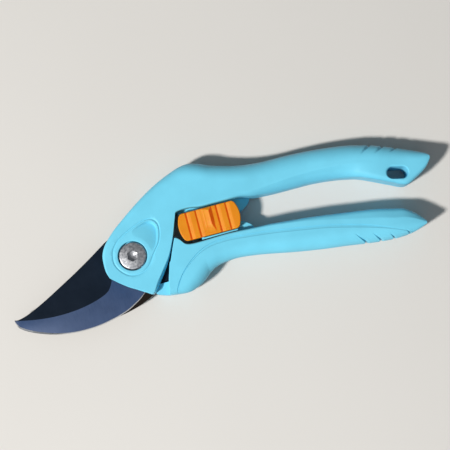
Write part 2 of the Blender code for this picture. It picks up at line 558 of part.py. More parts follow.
# ---------------------------------------------------------------- return spring
coil = bpy.data.curves.new("return_spring", "CURVE")
coil.dimensions = "3D"
coil.bevel_depth = 0.5 * WIRE_D * MM
coil.bevel_resolution = 2
coil.use_fill_caps = True
turns, per = SPRING_TURNS, 12
count = int(turns * per) + 1
line = coil.splines.new("POLY")
line.points.add(count - 1)
radius = 0.5 * (SPRING_D - WIRE_D)
y0, y1 = SPRING_Y[0] + 0.5 * WIRE_D, SPRING_Y[1] - 0.5 * WIRE_D
close = 1.25                    # turns lying close together at each end
tight = WIRE_D * 1.15
for i, target in enumerate(line.points):
    t = i / per
    free = (y1 - y0 - 2 * close * tight) / (turns - 2 * close)
    if t < close:
        y = y0 + t * tight
    elif t > turns - close:
        y = y1 - (turns - t) * tight
    else:
        y = y0 + close * tight + (t - close) * free
    a = 2 * math.pi * t
    target.co = ((SPRING_X + radius * math.cos(a)) * MM, y * MM, (SPRING_Z + radius * math.sin(a)) * MM, 1.0)
spring = add(bpy.data.objects.new("return_spring", coil), PARTS, SPRING_STEEL)

# ---------------------------------------------------------------- lock slide and its retainer
hu, hv = LOCK_HALF
side = [in_lock(*p) for p in smooth(
    [(-hu, 0.0), (-hu + 0.55, -3.3), (-hu + 1.7, -5.7), (-hu + 2.9, -hv), (0.0, -hv), (hu - 2.9, -hv),
     (hu - 1.7, -5.7), (hu - 0.55, -3.3), (hu, 0.0), (hu - 0.55, 3.3), (hu - 1.7, 5.7), (hu - 2.9, hv),
     (0.0, hv), (-hu + 2.9, hv), (-hu + 1.7, 5.7), (-hu + 0.55, 3.3)], 3, closed=True)]
lock = plate("lock_slide", side, LOCK_Z, PARTS, LOCK_ORANGE)
join(lock, lock_box("lock_ridge", (-3.6, 1.8), (-4.8, 4.8), (LOCK_Z[1] - 0.6, 14.8)))
for i, u in enumerate((-9.6, -5.2, 4.2, 8.6)):
    cut(lock, lock_box("lock_groove_%d" % i, (u - 0.35, u + 0.35), (-8.0, 8.0), (LOCK_Z[1] - 0.5, 16.0)))
join(lock, lock_box("lock_foot", (-12.0, -4.6), (-5.9, -2.0), (9.9, LOCK_Z[0] + 0.5)))
join(lock, lock_box("lock_post", POST_U, POST_V, (2.9, 10.5)))
join(lock, lock_box("lock_tongue", (-12.0, -6.0), (3.1, 5.1), (9.9, LOCK_Z[0] + 0.5)))
post = in_lock(0.5 * (POST_U[0] + POST_U[1]), 0.5 * (POST_V[0] + POST_V[1]))
cut(lock, rod("post_bore", 2.5, (1.0, 8.0), post, 20))

retainer = lock_box("lock_retainer", (POST_U[0] - 1.1, POST_U[1] + 1.1), (POST_V[0] - 1.1, POST_V[1] + 1.1), RET_Z,
                    PARTS, BOLT_STEEL)
cut(retainer, rod("retainer_hole", 2.6, (0.0, 4.0), post, 20))
screw = rod("lock_screw", 3.9, (0.3, 1.05), post, 24, PARTS, BOLT_STEEL)
join(screw, rod("lock_screw_shank", 1.9, (0.8, 7.2), post, 20))
cut(screw, rod("lock_screw_slot", 1.5, (-0.5, 0.7), post, 6))

# a bowed leaf beside the post gives the slide its click
leaf_mid = [in_lock(u, -6.95 + 0.35 * math.cos(math.pi * (u + 6.2) / 5.0)) for u in (-11.0, -9.8, -8.6, -7.4, -6.2, -5.0, -3.8, -2.6, -1.6)]
leaf_back = [in_lock(u, -7.3 + 0.35 * math.cos(math.pi * (u + 6.2) / 5.0)) for u in (-1.6, -2.6, -3.8, -5.0, -6.2, -7.4, -8.6, -9.8, -11.0)]
plate("lock_detent_leaf", leaf_mid + leaf_back, (3.9, 7.9), PARTS, SPRING_STEEL)

# ---------------------------------------------------------------- parenting: what moves with what
def frame_at(name, at, z):
    empty = bpy.data.objects.new(name, None)
    empty.location = (at[0] * MM, at[1] * MM, z * MM)
    empty.empty_display_size = 0.01
    PARTS.objects.link(empty)
    return empty


pivot_frame = frame_at("lower_handle_pivot", PIVOT, 8.0)
lock_frame = frame_at("lock_slide_axis", LOCK_C, 12.8)
bpy.context.view_layer.update()
for names, parent in (
        (("lower_handle", "lower_grip", "cutting_blade", "blade_pin_1", "blade_pin_2", "pivot_bolt", "pivot_nut",
          "nut_washer", "pivot_sleeve"), pivot_frame),
        (("lock_slide", "lock_retainer", "lock_screw"), lock_frame)):
    for name in names:
        piece = bpy.data.objects[name]
        piece.parent = parent
        piece.matrix_parent_inverse = parent.matrix_world.inverted()

for piece in PARTS.objects:
    if piece.type == "MESH":
        piece.data.shade_smooth()
        piece.data.set_sharp_from_angle(angle=math.radians(35))
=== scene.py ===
import math

import bmesh
import bpy
import numpy as np
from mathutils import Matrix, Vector
from mathutils.bvhtree import BVHTree


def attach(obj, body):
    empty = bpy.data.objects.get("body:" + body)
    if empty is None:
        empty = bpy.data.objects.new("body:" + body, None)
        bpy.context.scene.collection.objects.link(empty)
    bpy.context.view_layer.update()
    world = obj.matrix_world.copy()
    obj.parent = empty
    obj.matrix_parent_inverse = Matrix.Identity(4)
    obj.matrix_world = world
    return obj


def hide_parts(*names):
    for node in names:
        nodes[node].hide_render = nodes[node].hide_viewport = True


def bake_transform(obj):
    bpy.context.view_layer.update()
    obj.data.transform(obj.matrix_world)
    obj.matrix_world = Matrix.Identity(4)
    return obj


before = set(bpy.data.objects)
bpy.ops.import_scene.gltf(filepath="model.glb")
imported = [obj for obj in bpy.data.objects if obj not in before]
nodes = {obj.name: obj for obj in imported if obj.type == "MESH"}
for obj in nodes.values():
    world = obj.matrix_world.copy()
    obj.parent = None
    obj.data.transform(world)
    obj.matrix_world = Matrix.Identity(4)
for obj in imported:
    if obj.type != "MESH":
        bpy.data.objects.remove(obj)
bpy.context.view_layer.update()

scene = bpy.context.scene
MM = 0.001

# ---------------------------------------------------------------- the design's own dimensions, mm
PIVOT = (-40.6, -2.3)
T, L = 15.5, 15.3                       # thickness of the upper and the lower handle
CHEEK_BACK, CHEEK_FRONT = 4.6, 11.0
HOOK_Z, BLADE_Z = (4.9, 7.6), (7.9, 10.7)
CLEAR, SWING_R = 0.3, 24.6
BORE_D, BORE_Z = 13.05, 12.9
WEB_Z = (0.6, 9.6)
SPRING_X, SPRING_Z, SPRING_Y = 2.5, 5.1, (-8.3, 14.7)
SPRING_D, WIRE_D, SPRING_TURNS = 6.6, 1.0, 9.5
LOCK_C, LOCK_TILT = (-3.4, 2.2), math.radians(-3.1)
POST_U, POST_V, LOCK_TRAVEL = (-11.0, -6.0), (-6.3, -2.3), 5.5
HANG_C, HANG_TILT = (83.2, -3.25), math.radians(-16.0)
PIN_D, PIN_Z = 3.0, (0.6, 11.3)
HOOK_PINS = ((-18.0, 15.4), (-9.0, 19.4))
BLADE_PINS = ((-19.0, -11.6), (-8.4, -11.8))


# ---------------------------------------------------------------- mesh helpers
def make(name, verts, faces):
    mesh = bpy.data.meshes.new(name)
    mesh.from_pydata((np.asarray(verts, float) * MM).tolist(), [], [list(map(int, f)) for f in faces])
    mesh.update()
    obj = bpy.data.objects.new(name, mesh)
    scene.collection.objects.link(obj)
    return obj


def outward(obj):
    bm = bmesh.new()
    bm.from_mesh(obj.data)
    bmesh.ops.recalc_face_normals(bm, faces=bm.faces)
    bm.to_mesh(obj.data)
    bm.free()
    return obj


def smooth(points, steps=8, closed=False):
    """Catmull-Rom curve through rows of numbers; a row ending in 'c' is a corner."""
    rows = [tuple(v for v in p if v != "c") for p in points]
    corner = [p[-1] == "c" for p in points]
    n, out = len(rows), []
    for i in range(n if closed else n - 1):
        p1, p2 = rows[i], rows[(i + 1) % n]
        before, after = i - 1, i + 2
        if closed:
            before, after = before % n, after % n
        p0 = p1 if (corner[i] or (not closed and i == 0)) else rows[before]
        p3 = p2 if (corner[(i + 1) % n] or (not closed and i == n - 2)) else rows[after]
        for k in range(steps):
            t = k / steps
            out.append(tuple(
                0.5 * (2 * b + (c - a) * t + (2 * a - 5 * b + 4 * c - d) * t * t
                       + (3 * b - a - 3 * c + d) * t ** 3)
                for a, b, c, d in zip(p0, p1, p2, p3)))
    if not closed:
        out.append(rows[-1])
    return out


def area(p):
    return 0.5 * sum(a[0] * b[1] - b[0] * a[1] for a, b in zip(p, p[1:] + p[:1]))


def grow(points, by):
    """An outline moved outwards by a constant amount."""
    points = [tuple(p[:2]) for p in points]
    side = 1.0 if area(points) > 0 else -1.0
    out, n = [], len(points)
    for i, p in enumerate(points):
        a, b = points[i - 1], points[(i + 1) % n]
        e1 = Vector((p[0] - a[0], p[1] - a[1]))
        e2 = Vector((b[0] - p[0], b[1] - p[1]))
        if e1.length < 1e-9 or e2.length < 1e-9:
            out.append(p)
            continue
        n1, n2 = Vector((e1.y, -e1.x)).normalized(), Vector((e2.y, -e2.x)).normalized()
        m = n1 + n2
        m = m / max(0.35, 0.5 * m.length_squared)
        out.append((p[0] + side * by * m.x, p[1] + side * by * m.y))
    return out


def around(centre, radius, start, end, count):
    return [(centre[0] + radius * math.cos(math.radians(start + (end - start) * i / (count - 1))),
             centre[1] + radius * math.sin(math.radians(start + (end - start) * i / (count - 1))))
            for i in range(count)]


def skin(name, rings, tags=None, mats=None):
    """A closed skin over rings of equal point count. tags gives each ring segment's material index."""
    R = np.asarray(rings, float)
    n, k, _ = R.shape
    i = np.arange(n - 1)[:, None] * k
    j = np.arange(k)[None, :]
    j2 = (j + 1) % k
    quads = np.stack([i + j, i + j2, i + k + j2, i + k + j], -1).reshape(-1, 4).tolist()
    quads.append(list(range(k))[::-1])
    quads.append([(n - 1) * k + q for q in range(k)])
    obj = make(name, R.reshape(-1, 3), quads)
    if tags is not None:
        for m in mats:
            obj.data.materials.append(m)
        index = np.concatenate([np.tile(np.asarray(tags, np.int32), n - 1), [0, 0]]).astype(np.int32)
        obj.data.polygons.foreach_set("material_index", index)
    return outward(obj)


def layers(name, outline, steps):
    """A plate built of outlines: steps is a list of (outward offset, z)."""
    rings = []
    for off, z in steps:
        pts = grow(outline, off) if abs(off) > 1e-9 else [tuple(p[:2]) for p in outline]
        rings.append([(x, y, z) for x, y in pts])
    return skin(name, rings)


def prism(name, outline, z0, z1):
    return layers(name, outline, [(0.0, z0), (0.0, z1)])


def rounded_plate(name, outline, z0, z1, r, seg=4, r_low=None):
    """A plate whose edges are rounded by r on both faces."""
    low = r if r_low is None else r_low
    steps = []
    for k in range(seg + 1):
        a = math.pi / 2 * k / seg
        steps.append((-low * (1 - math.sin(a)), z0 + low * (1 - math.cos(a))))
    for k in range(seg + 1):
        a = math.pi / 2 * k / seg
        steps.append((-r * (1 - math.cos(a)), z1 - r * (1 - math.sin(a))))
    return layers(name, outline, steps)


def flared(name, outline, z0, z1, r, top=2.0, seg=4):
    """A cutter that opens out by r where it leaves the surface at z1, so its hole gets a rounded rim."""
    steps = [(0.0, z0)]
    for k in range(seg + 1):
        a = math.pi / 2 * k / seg
        steps.append((r * (1 - math.cos(a)), z1 - r + r * math.sin(a)))
    steps.append((r, z1 + top))
    return layers(name, outline, steps)


def lathe(name, profile, at, seg=96, z_shift=0.0):
    """A turned solid; profile is (radius, z) from the bottom to the top, both ends capped."""
    rings = []
    for r, z in profile:
        rings.append([(at[0] + r * math.cos(2 * math.pi * k / seg), at[1] + r * math.sin(2 * math.pi * k / seg),
                       z + z_shift) for k in range(seg)])
    return skin(name, rings)


def tube(name, points, radius, sides=12):
    """A round wire along a list of 3D points, capped at both ends."""
    P = np.asarray(points, float)
    tan = np.gradient(P, axis=0)
    tan /= np.linalg.norm(tan, axis=1)[:, None]
    ref = np.array([0.0, 1.0, 0.0])
    rings = []
    for p, t in zip(P, tan):
        a = np.cross(t, ref)
        a /= np.linalg.norm(a)
        b = np.cross(t, a)
        rings.append([p + radius * (a * math.cos(w) + b * math.sin(w))
                      for w in np.linspace(0, 2 * math.pi, sides, endpoint=False)])
    return skin(name, rings)


def boolean(obj, other, operation="DIFFERENCE", keep=False, solver="MANIFOLD"):
    mod = obj.modifiers.new("b", "BOOLEAN")
    mod.operation, mod.solver, mod.object = operation, solver, other
    dg = bpy.context.evaluated_depsgraph_get()
    dg.update()
    mesh = bpy.data.meshes.new_from_object(obj.evaluated_get(dg), depsgraph=dg)
    before = len(obj.data.vertices)
    obj.modifiers.clear()
    if len(mesh.vertices) == 0:
        raise RuntimeError("boolean emptied " + obj.name + " with " + other.name)
    print("bool", obj.name, operation, other.name, before, "->", len(mesh.vertices))
    mesh.name = obj.name
    obj.data = mesh
    if not keep:
        bpy.data.objects.remove(other, do_unlink=True)
    return obj


def cut(obj, *others, keep=False):
    for other in others:
        boolean(obj, other, "DIFFERENCE", keep)
    return obj


def join(obj, *others, keep=False):
    for other in others:
        boolean(obj, other, "UNION", keep)
    return obj


def dup(obj, name):
    new = bpy.data.objects.new(name, obj.data.copy())
    scene.collection.objects.link(new)
    return new


def finish_piece(obj, body, mats, replaces=(), angle=28.0):
    mesh = obj.data
    bm = bmesh.new()
    bm.from_mesh(mesh)
    bmesh.ops.remove_doubles(bm, verts=bm.verts, dist=2e-6)
    bmesh.ops.dissolve_degenerate(bm, dist=1e-6, edges=bm.edges)
    bm.to_mesh(mesh)
    bm.free()
    if mats is not None:
        mesh.materials.clear()
        mesh.materials.append(mats)
    mesh.shade_smooth()
    mesh.set_sharp_from_angle(angle=math.radians(angle))
    if body:
        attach(obj, body)
    if replaces:
        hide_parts(*replaces)
    return obj


def in_lock(u, v):
    c, s = math.cos(LOCK_TILT), math.sin(LOCK_TILT)
    return (LOCK_C[0] + u * c + v * s, LOCK_C[1] + u * s - v * c)


def lock_rect(u, v):
    return [in_lock(u[0], v[0]), in_lock(u[0], v[1]), in_lock(u[1], v[1]), in_lock(u[1], v[0])]


def circle(at, d, count=48):
    return around(at, 0.5 * d, 0, 360 - 360 / count, count)


def stadium(centre, tilt, length, width, count=20):
    out = []
    for side in (1, -1):
        cx = centre[0] + math.cos(tilt) * side * 0.5 * (length - width)
        cy = centre[1] + math.sin(tilt) * side * 0.5 * (length - width)
        out += around((cx, cy), 0.5 * width, math.degrees(tilt) - 90 * side, math.degrees(tilt) + 180 - 90 * side, count)
    return out


# ---------------------------------------------------------------- materials
class Nodes:
    """Small wrapper to build one procedural material."""

    def __init__(self, name):
        self.mat = bpy.data.materials.new(name)
        self.mat.use_nodes = True
        self.tree = self.mat.node_tree
        self.bsdf = self.tree.nodes["Principled BSDF"]
        self.coord = self.new("ShaderNodeTexCoord").outputs["Object"]

    def new(self, kind, **props):
        node = self.tree.nodes.new(kind)
        for k, v in props.items():
            setattr(node, k, v)
        return node

    def link(self, a, b):
        self.tree.links.new(a, b)

    def mapped(self, scale=(1, 1, 1), rotation=(0, 0, 0), location=(0, 0, 0)):
        m = self.new("ShaderNodeMapping")
        m.inputs["Location"].default_value = location
        m.inputs["Rotation"].default_value = rotation
        m.inputs["Scale"].default_value = scale
        self.link(self.coord, m.inputs["Vector"])
        return m.outputs["Vector"]

    def noise(self, scale, detail=3.0, rough=0.55, vector=None):
        n = self.new("ShaderNodeTexNoise")
        n.inputs["Scale"].default_value = scale
        n.inputs["Detail"].default_value = detail
        n.inputs["Roughness"].default_value = rough
        self.link(vector if vector is not None else self.coord, n.inputs["Vector"])
        return n.outputs["Fac"]

    def ramp(self, fac, stops):
        r = self.new("ShaderNodeValToRGB")
        el = r.color_ramp.elements
        while len(el) < len(stops):
            el.new(0.5)
        for e, (pos, col) in zip(el, stops):
            e.position = pos
            e.color = (*col, 1.0) if len(col) == 3 else col
        self.link(fac, r.inputs["Fac"])
        return r.outputs["Color"]

    def span(self, fac, low, high, a=0.3, b=0.7):
        m = self.new("ShaderNodeMapRange")
        m.inputs["From Min"].default_value, m.inputs["From Max"].default_value = a, b
        m.inputs["To Min"].default_value, m.inputs["To Max"].default_value = low, high
        self.link(fac, m.inputs["Value"])
        return m.outputs["Result"]

    def mix(self, fac, a, b, blend="MIX"):
        m = self.new("ShaderNodeMix", data_type="RGBA", blend_type=blend)
        for socket, value in ((m.inputs[0], fac), (m.inputs[6], a), (m.inputs[7], b)):
            if hasattr(value, "links") or isinstance(value, bpy.types.NodeSocket):
                self.link(value, socket)
            elif isinstance(value, (int, float)):
                socket.default_value = value
            else:
                socket.default_value = (*value, 1.0)
        return m.outputs[2]

    def math(self, op, a, b=None):
        m = self.new("ShaderNodeMath", operation=op)
        for i, value in enumerate((a, b)):
            if value is None:
                continue
            if isinstance(value, bpy.types.NodeSocket):
                self.link(value, m.inputs[i])
            else:
                m.inputs[i].default_value = value
        return m.outputs[0]

    def bump(self, height, strength, distance, normal=None):
        b = self.new("ShaderNodeBump")
        b.inputs["Strength"].default_value = strength
        b.inputs["Distance"].default_value = distance
        self.link(height, b.inputs["Height"])
        if normal is not None:
            self.link(normal, b.inputs["Normal"])
        return b.outputs["Normal"]

    def set(self, **values):
        for k, v in values.items():
            socket = self.bsdf.inputs[k.replace("_", " ")]
            if isinstance(v, bpy.types.NodeSocket):
                self.link(v, socket)
            else:
                socket.default_value = v
        return self.mat


def plastic(name, colour, rough=(0.36, 0.46), grain=0.05, tint=0.04):
    n = Nodes(name)
    cloud = n.noise(70.0, 3.0)
    fine = n.noise(2600.0, 2.0, 0.6)
    dark = tuple(c * (1 - tint) for c in colour)
    light = tuple(min(1.0, c * (1 + tint)) for c in colour)
    base = n.ramp(cloud, [(0.35, dark), (0.65, light)])
    base = n.mix(n.span(fine, 0.0, 0.10), base, tuple(min(1, c * 1.12 + 0.01) for c in colour))
    scuff = n.noise(55.0, 6.0, 0.7, n.mapped(scale=(0.35, 2.2, 1.0), rotation=(0, 0, 0.4)))
    rough_map = n.math("ADD", n.span(cloud, rough[0], rough[1]), n.span(scuff, 0.0, 0.08, 0.55, 0.75))
    peel = n.bump(n.noise(950.0, 2.0), grain, 0.00008)
    skin_bump = n.bump(fine, grain * 1.6, 0.00003, peel)
    return n.set(Base_Color=base, Roughness=rough_map, Normal=skin_bump, IOR=1.46, Specular_IOR_Level=0.24)


BLUE = (0.162, 0.590, 0.790)
mat_handle = plastic("handle_plastic", BLUE)
mat_grip = plastic("grip_plastic", (0.164, 0.595, 0.796), rough=(0.42, 0.52), grain=0.09)


def orange_plastic(name, low, high, fleck):
    n = Nodes(name)
    cloud = n.noise(160.0, 4.0)
    base = n.ramp(cloud, [(0.3, low), (0.7, high)])
    fine = n.noise(2400.0, 2.0)
    base = n.mix(n.span(fine, 0.0, 0.12), base, fleck)
    return n.set(Base_Color=base, Roughness=n.span(cloud, 0.42, 0.52), Normal=n.bump(fine, 0.08, 0.00004),
                 Specular_IOR_Level=0.22, Subsurface_Weight=0.35, Subsurface_Scale=0.0010,
                 Subsurface_Radius=(1.0, 0.16, 0.04))


def coated_steel(name, colour, rough=(0.34, 0.48)):
    n = Nodes(name)
    cloud = n.noise(90.0, 5.0, 0.6)
    speck = n.noise(3800.0, 2.0, 0.7)
    base = n.ramp(cloud, [(0.3, tuple(c * 0.85 for c in colour)), (0.7, tuple(c * 1.2 for c in colour))])
    base = n.mix(n.span(speck, 0.0, 0.25, 0.55, 0.8), base, tuple(c * 2.2 for c in colour))
    hair = n.noise(240.0, 4.0, 0.7, n.mapped(scale=(1.0, 14.0, 1.0), rotation=(0, 0, 0.45)))
    rough_map = n.math("ADD", n.span(cloud, *rough), n.span(hair, 0.0, 0.1, 0.6, 0.75))
    return n.set(Base_Color=base, Roughness=rough_map, Normal=n.bump(speck, 0.12, 0.00004),
                 Specular_IOR_Level=0.10)


def ground_steel():
    """The blade's ground bevel: blue-grey with fine marks left by the wheel."""
    n = Nodes("ground_bevel_steel")
    marks = n.noise(420.0, 5.0, 0.75, n.mapped(scale=(9.0, 0.5, 1.0), rotation=(0, 0, -0.35)))
    cloud = n.noise(120.0, 4.0, 0.6)
    base = n.ramp(cloud, [(0.3, (0.018, 0.044, 0.116)), (0.7, (0.030, 0.062, 0.150))])
    base = n.mix(n.span(marks, 0.0, 0.35), base, (0.060, 0.10, 0.20))
    return n.set(Base_Color=base, Metallic=0.2, Roughness=n.span(marks, 0.36, 0.5),
                 Normal=n.bump(marks, 0.10, 0.00005))


def bright_steel(name="honed_edge_steel", colour=(0.72, 0.74, 0.78)):
    n = Nodes(name)
    marks = n.noise(900.0, 4.0, 0.7, n.mapped(scale=(1.0, 8.0, 1.0)))
    base = n.ramp(marks, [(0.3, tuple(c * 0.8 for c in colour)), (0.7, colour)])
    return n.set(Base_Color=base, Metallic=1.0, Roughness=n.span(marks, 0.22, 0.36),
                 Normal=n.bump(marks, 0.08, 0.00004))


def turned_steel():
    """Screw steel: a fine turned face with a mottled, tumbled finish."""
    n = Nodes("bolt_steel")
    at = n.mapped(location=(-PIVOT[0] * MM, -PIVOT[1] * MM, 0.0))
    flat = n.new("ShaderNodeVectorMath", operation="MULTIPLY")
    flat.inputs[1].default_value = (1.0, 1.0, 0.0)
    n.link(at, flat.inputs[0])
    length = n.new("ShaderNodeVectorMath", operation="LENGTH")
    n.link(flat.outputs["Vector"], length.inputs[0])
    wave = n.math("SINE", n.math("MULTIPLY", length.outputs["Value"], 24000.0))
    mottle = n.noise(900.0, 5.0, 0.65)
    cloud = n.noise(330.0, 3.0, 0.6)
    base = n.ramp(mottle, [(0.30, (0.22, 0.23, 0.255)), (0.50, (0.42, 0.43, 0.455)), (0.72, (0.66, 0.67, 0.69))])
    base = n.mix(n.span(cloud, 0.0, 0.45), base, (0.30, 0.31, 0.34))
    rings = n.bump(wave, 0.05, 0.00002)
    pits = n.bump(mottle, 0.25, 0.00006, rings)
    return n.set(Base_Color=base, Metallic=0.85, Roughness=n.span(mottle, 0.30, 0.48), Normal=pits)


def wire_steel():
    n = Nodes("spring_steel")
    draw = n.noise(700.0, 4.0, 0.7, n.mapped(scale=(1.0, 6.0, 1.0)))
    base = n.ramp(draw, [(0.3, (0.32, 0.325, 0.34)), (0.7, (0.52, 0.53, 0.55))])
    return n.set(Base_Color=base, Metallic=1.0, Roughness=n.span(draw, 0.26, 0.4), Normal=n.bump(draw, 0.1, 0.00003))


def bronze():
    n = Nodes("sleeve_bronze")
    cloud = n.noise(500.0, 5.0, 0.6)
    base = n.ramp(cloud, [(0.3, (0.36, 0.22, 0.09)), (0.7, (0.52, 0.35, 0.17))])
    return n.set(Base_Color=base, Metallic=1.0, Roughness=n.span(cloud, 0.35, 0.5), Normal=n.bump(cloud, 0.1, 0.00004))


def polymer():
    n = Nodes("friction_polymer")
    cloud = n.noise(400.0, 4.0, 0.6)
    base = n.ramp(cloud, [(0.3, (0.66, 0.66, 0.62)), (0.7, (0.78, 0.78, 0.74))])
    return n.set(Base_Color=base, Roughness=n.span(cloud, 0.4, 0.55), Normal=n.bump(cloud, 0.08, 0.00004))


mat_lock = orange_plastic("lock_plastic", (0.69, 0.230, 0.0050), (0.74, 0.265, 0.0075), (0.80, 0.31, 0.02))
# painted shade: a redder, darker orange standing in for the shade on the lock's slopes that face away from the key
# light
mat_lock_painted_shade = orange_plastic("lock_plastic_painted_shade", (0.80, 0.112, 0.0025), (0.88, 0.135, 0.0035), (0.86, 0.16, 0.01))
mat_coat = coated_steel("coated_blade_steel", (0.0034, 0.0085, 0.0180))
mat_hook = coated_steel("hook_steel", (0.011, 0.0075, 0.0055))
mat_ground = ground_steel()
mat_edge = bright_steel()
mat_bolt = turned_steel()
mat_spring = wire_steel()
mat_bronze = bronze()
mat_poly = polymer()


# ---------------------------------------------------------------- handle surfaces
def handle_rings(rows, steps, facet, na=9, nt=24, nb=8, ns=3):
    """Rings round a handle. A row is: A x, y | B x, y | edge radius at A, B | z low, high | facet width,
    facet slope | draft of the B wall. The facet lies along side A or B of the front face."""
    S = np.array(smooth(rows, steps), float)
    ax, ay, bx, by, ra, rb, z0, z1, fw, fs, draft = S.T
    z0 = np.maximum(z0, 0.0)
    W = np.hypot(bx - ax, by - ay)
    ux, uy = (bx - ax) / W, (by - ay) / W
    fs = np.maximum(fs, 0.0)
    fw = np.maximum(fw, 0.02)
    H = z1 - z0
    ra, rb = np.clip(ra, 0.2, 0.47 * W), np.clip(rb, 0.2, 0.47 * W)
    edge_drop = fs * fw
    va = np.minimum(ra, 0.5 * H - 0.1 - (edge_drop if facet == "A" else 0.0) * 0.5)
    vb = np.minimum(rb, 0.5 * H - 0.1 - (edge_drop if facet == "B" else 0.0) * 0.5)
    wa, wb = np.minimum(ra, 0.5 * H - 0.1), np.minimum(rb, 0.5 * H - 0.1)
    th = np.linspace(0.0, math.pi / 2, na + 1)
    col = lambda a: a[:, None]
    dA, zA = col(ra) * (1 - np.cos(th)), col(z1) - col(va) * (1 - np.sin(th))
    dB, zB = col(W) - col(rb) * (1 - np.cos(th)), col(z1) - col(vb) * (1 - np.sin(th))
    lo, hi = ra, W - rb
    fold = fw if facet == "A" else W - fw
    fold = np.clip(fold, lo + 0.12 * (hi - lo), hi - 0.12 * (hi - lo))
    half = nt // 2
    f1 = np.linspace(0, 1, half + 1)[1:]
    f2 = np.linspace(0, 1, half + 1)[1:-1]
    dM = np.concatenate([col(lo) + col(fold - lo) * f1, col(fold) + col(hi - fold) * f2], 1)
    zM = np.repeat(col(z1), dM.shape[1], 1)
    d_top = np.concatenate([dA, dM, dB[:, ::-1]], 1)
    z_top = np.concatenate([zA, zM, zB[:, ::-1]], 1)
    dist = d_top if facet == "A" else col(W) - d_top
    e = 0.16
    x = col(fw) - dist
    z_top = z_top - col(fs) * 0.5 * (x + np.sqrt(x * x + e * e))
    if facet == "B":
        t = x + 4.0
        z_top = z_top - 0.16 * col(fs) * np.where(t < 0, 0, np.where(t < 4.0, t * t / 8.0, t - 2.0))
    # B wall, bottom face, A wall
    f = np.linspace(0, 1, ns + 2)[1:-1]
    zb_top, zb_low = z_top[:, -1], z0 + wb
    dSb = np.repeat(col(W), ns, 1)
    zSb = col(zb_top) + col(zb_low - zb_top) * f
    dBb, zBb = col(W) - col(rb) * (1 - np.cos(th)), col(z0) + col(wb) * (1 - np.sin(th))
    fm = np.linspace(0, 1, nb + 2)[1:-1]
    dMb = col(W - rb) + col(ra - (W - rb)) * fm
    zMb = np.repeat(col(z0), nb, 1)
    dAb, zAb = col(ra) * (1 - np.cos(th)), col(z0) + col(wa) * (1 - np.sin(th))
    za_top, za_low = z_top[:, 0], z0 + wa
    zSa = col(za_low) + col(za_top - za_low) * f
    dSa = np.zeros_like(zSa)
    D = np.concatenate([d_top, dSb, dBb, dMb, dAb[:, ::-1], dSa], 1)
    Z = np.concatenate([z_top, zSb, zBb, zMb, zAb[:, ::-1], zSa], 1)
    near_b = np.clip((D - col(W) + 1.2) / 1.2, 0, 1)
    D = D + near_b * col(draft) * np.clip((col(z1) - Z) / 4.5, 0, 1)
    P = np.stack([col(ax) + col(ux) * D, col(ay) + col(uy) * D, Z], -1)
    return P


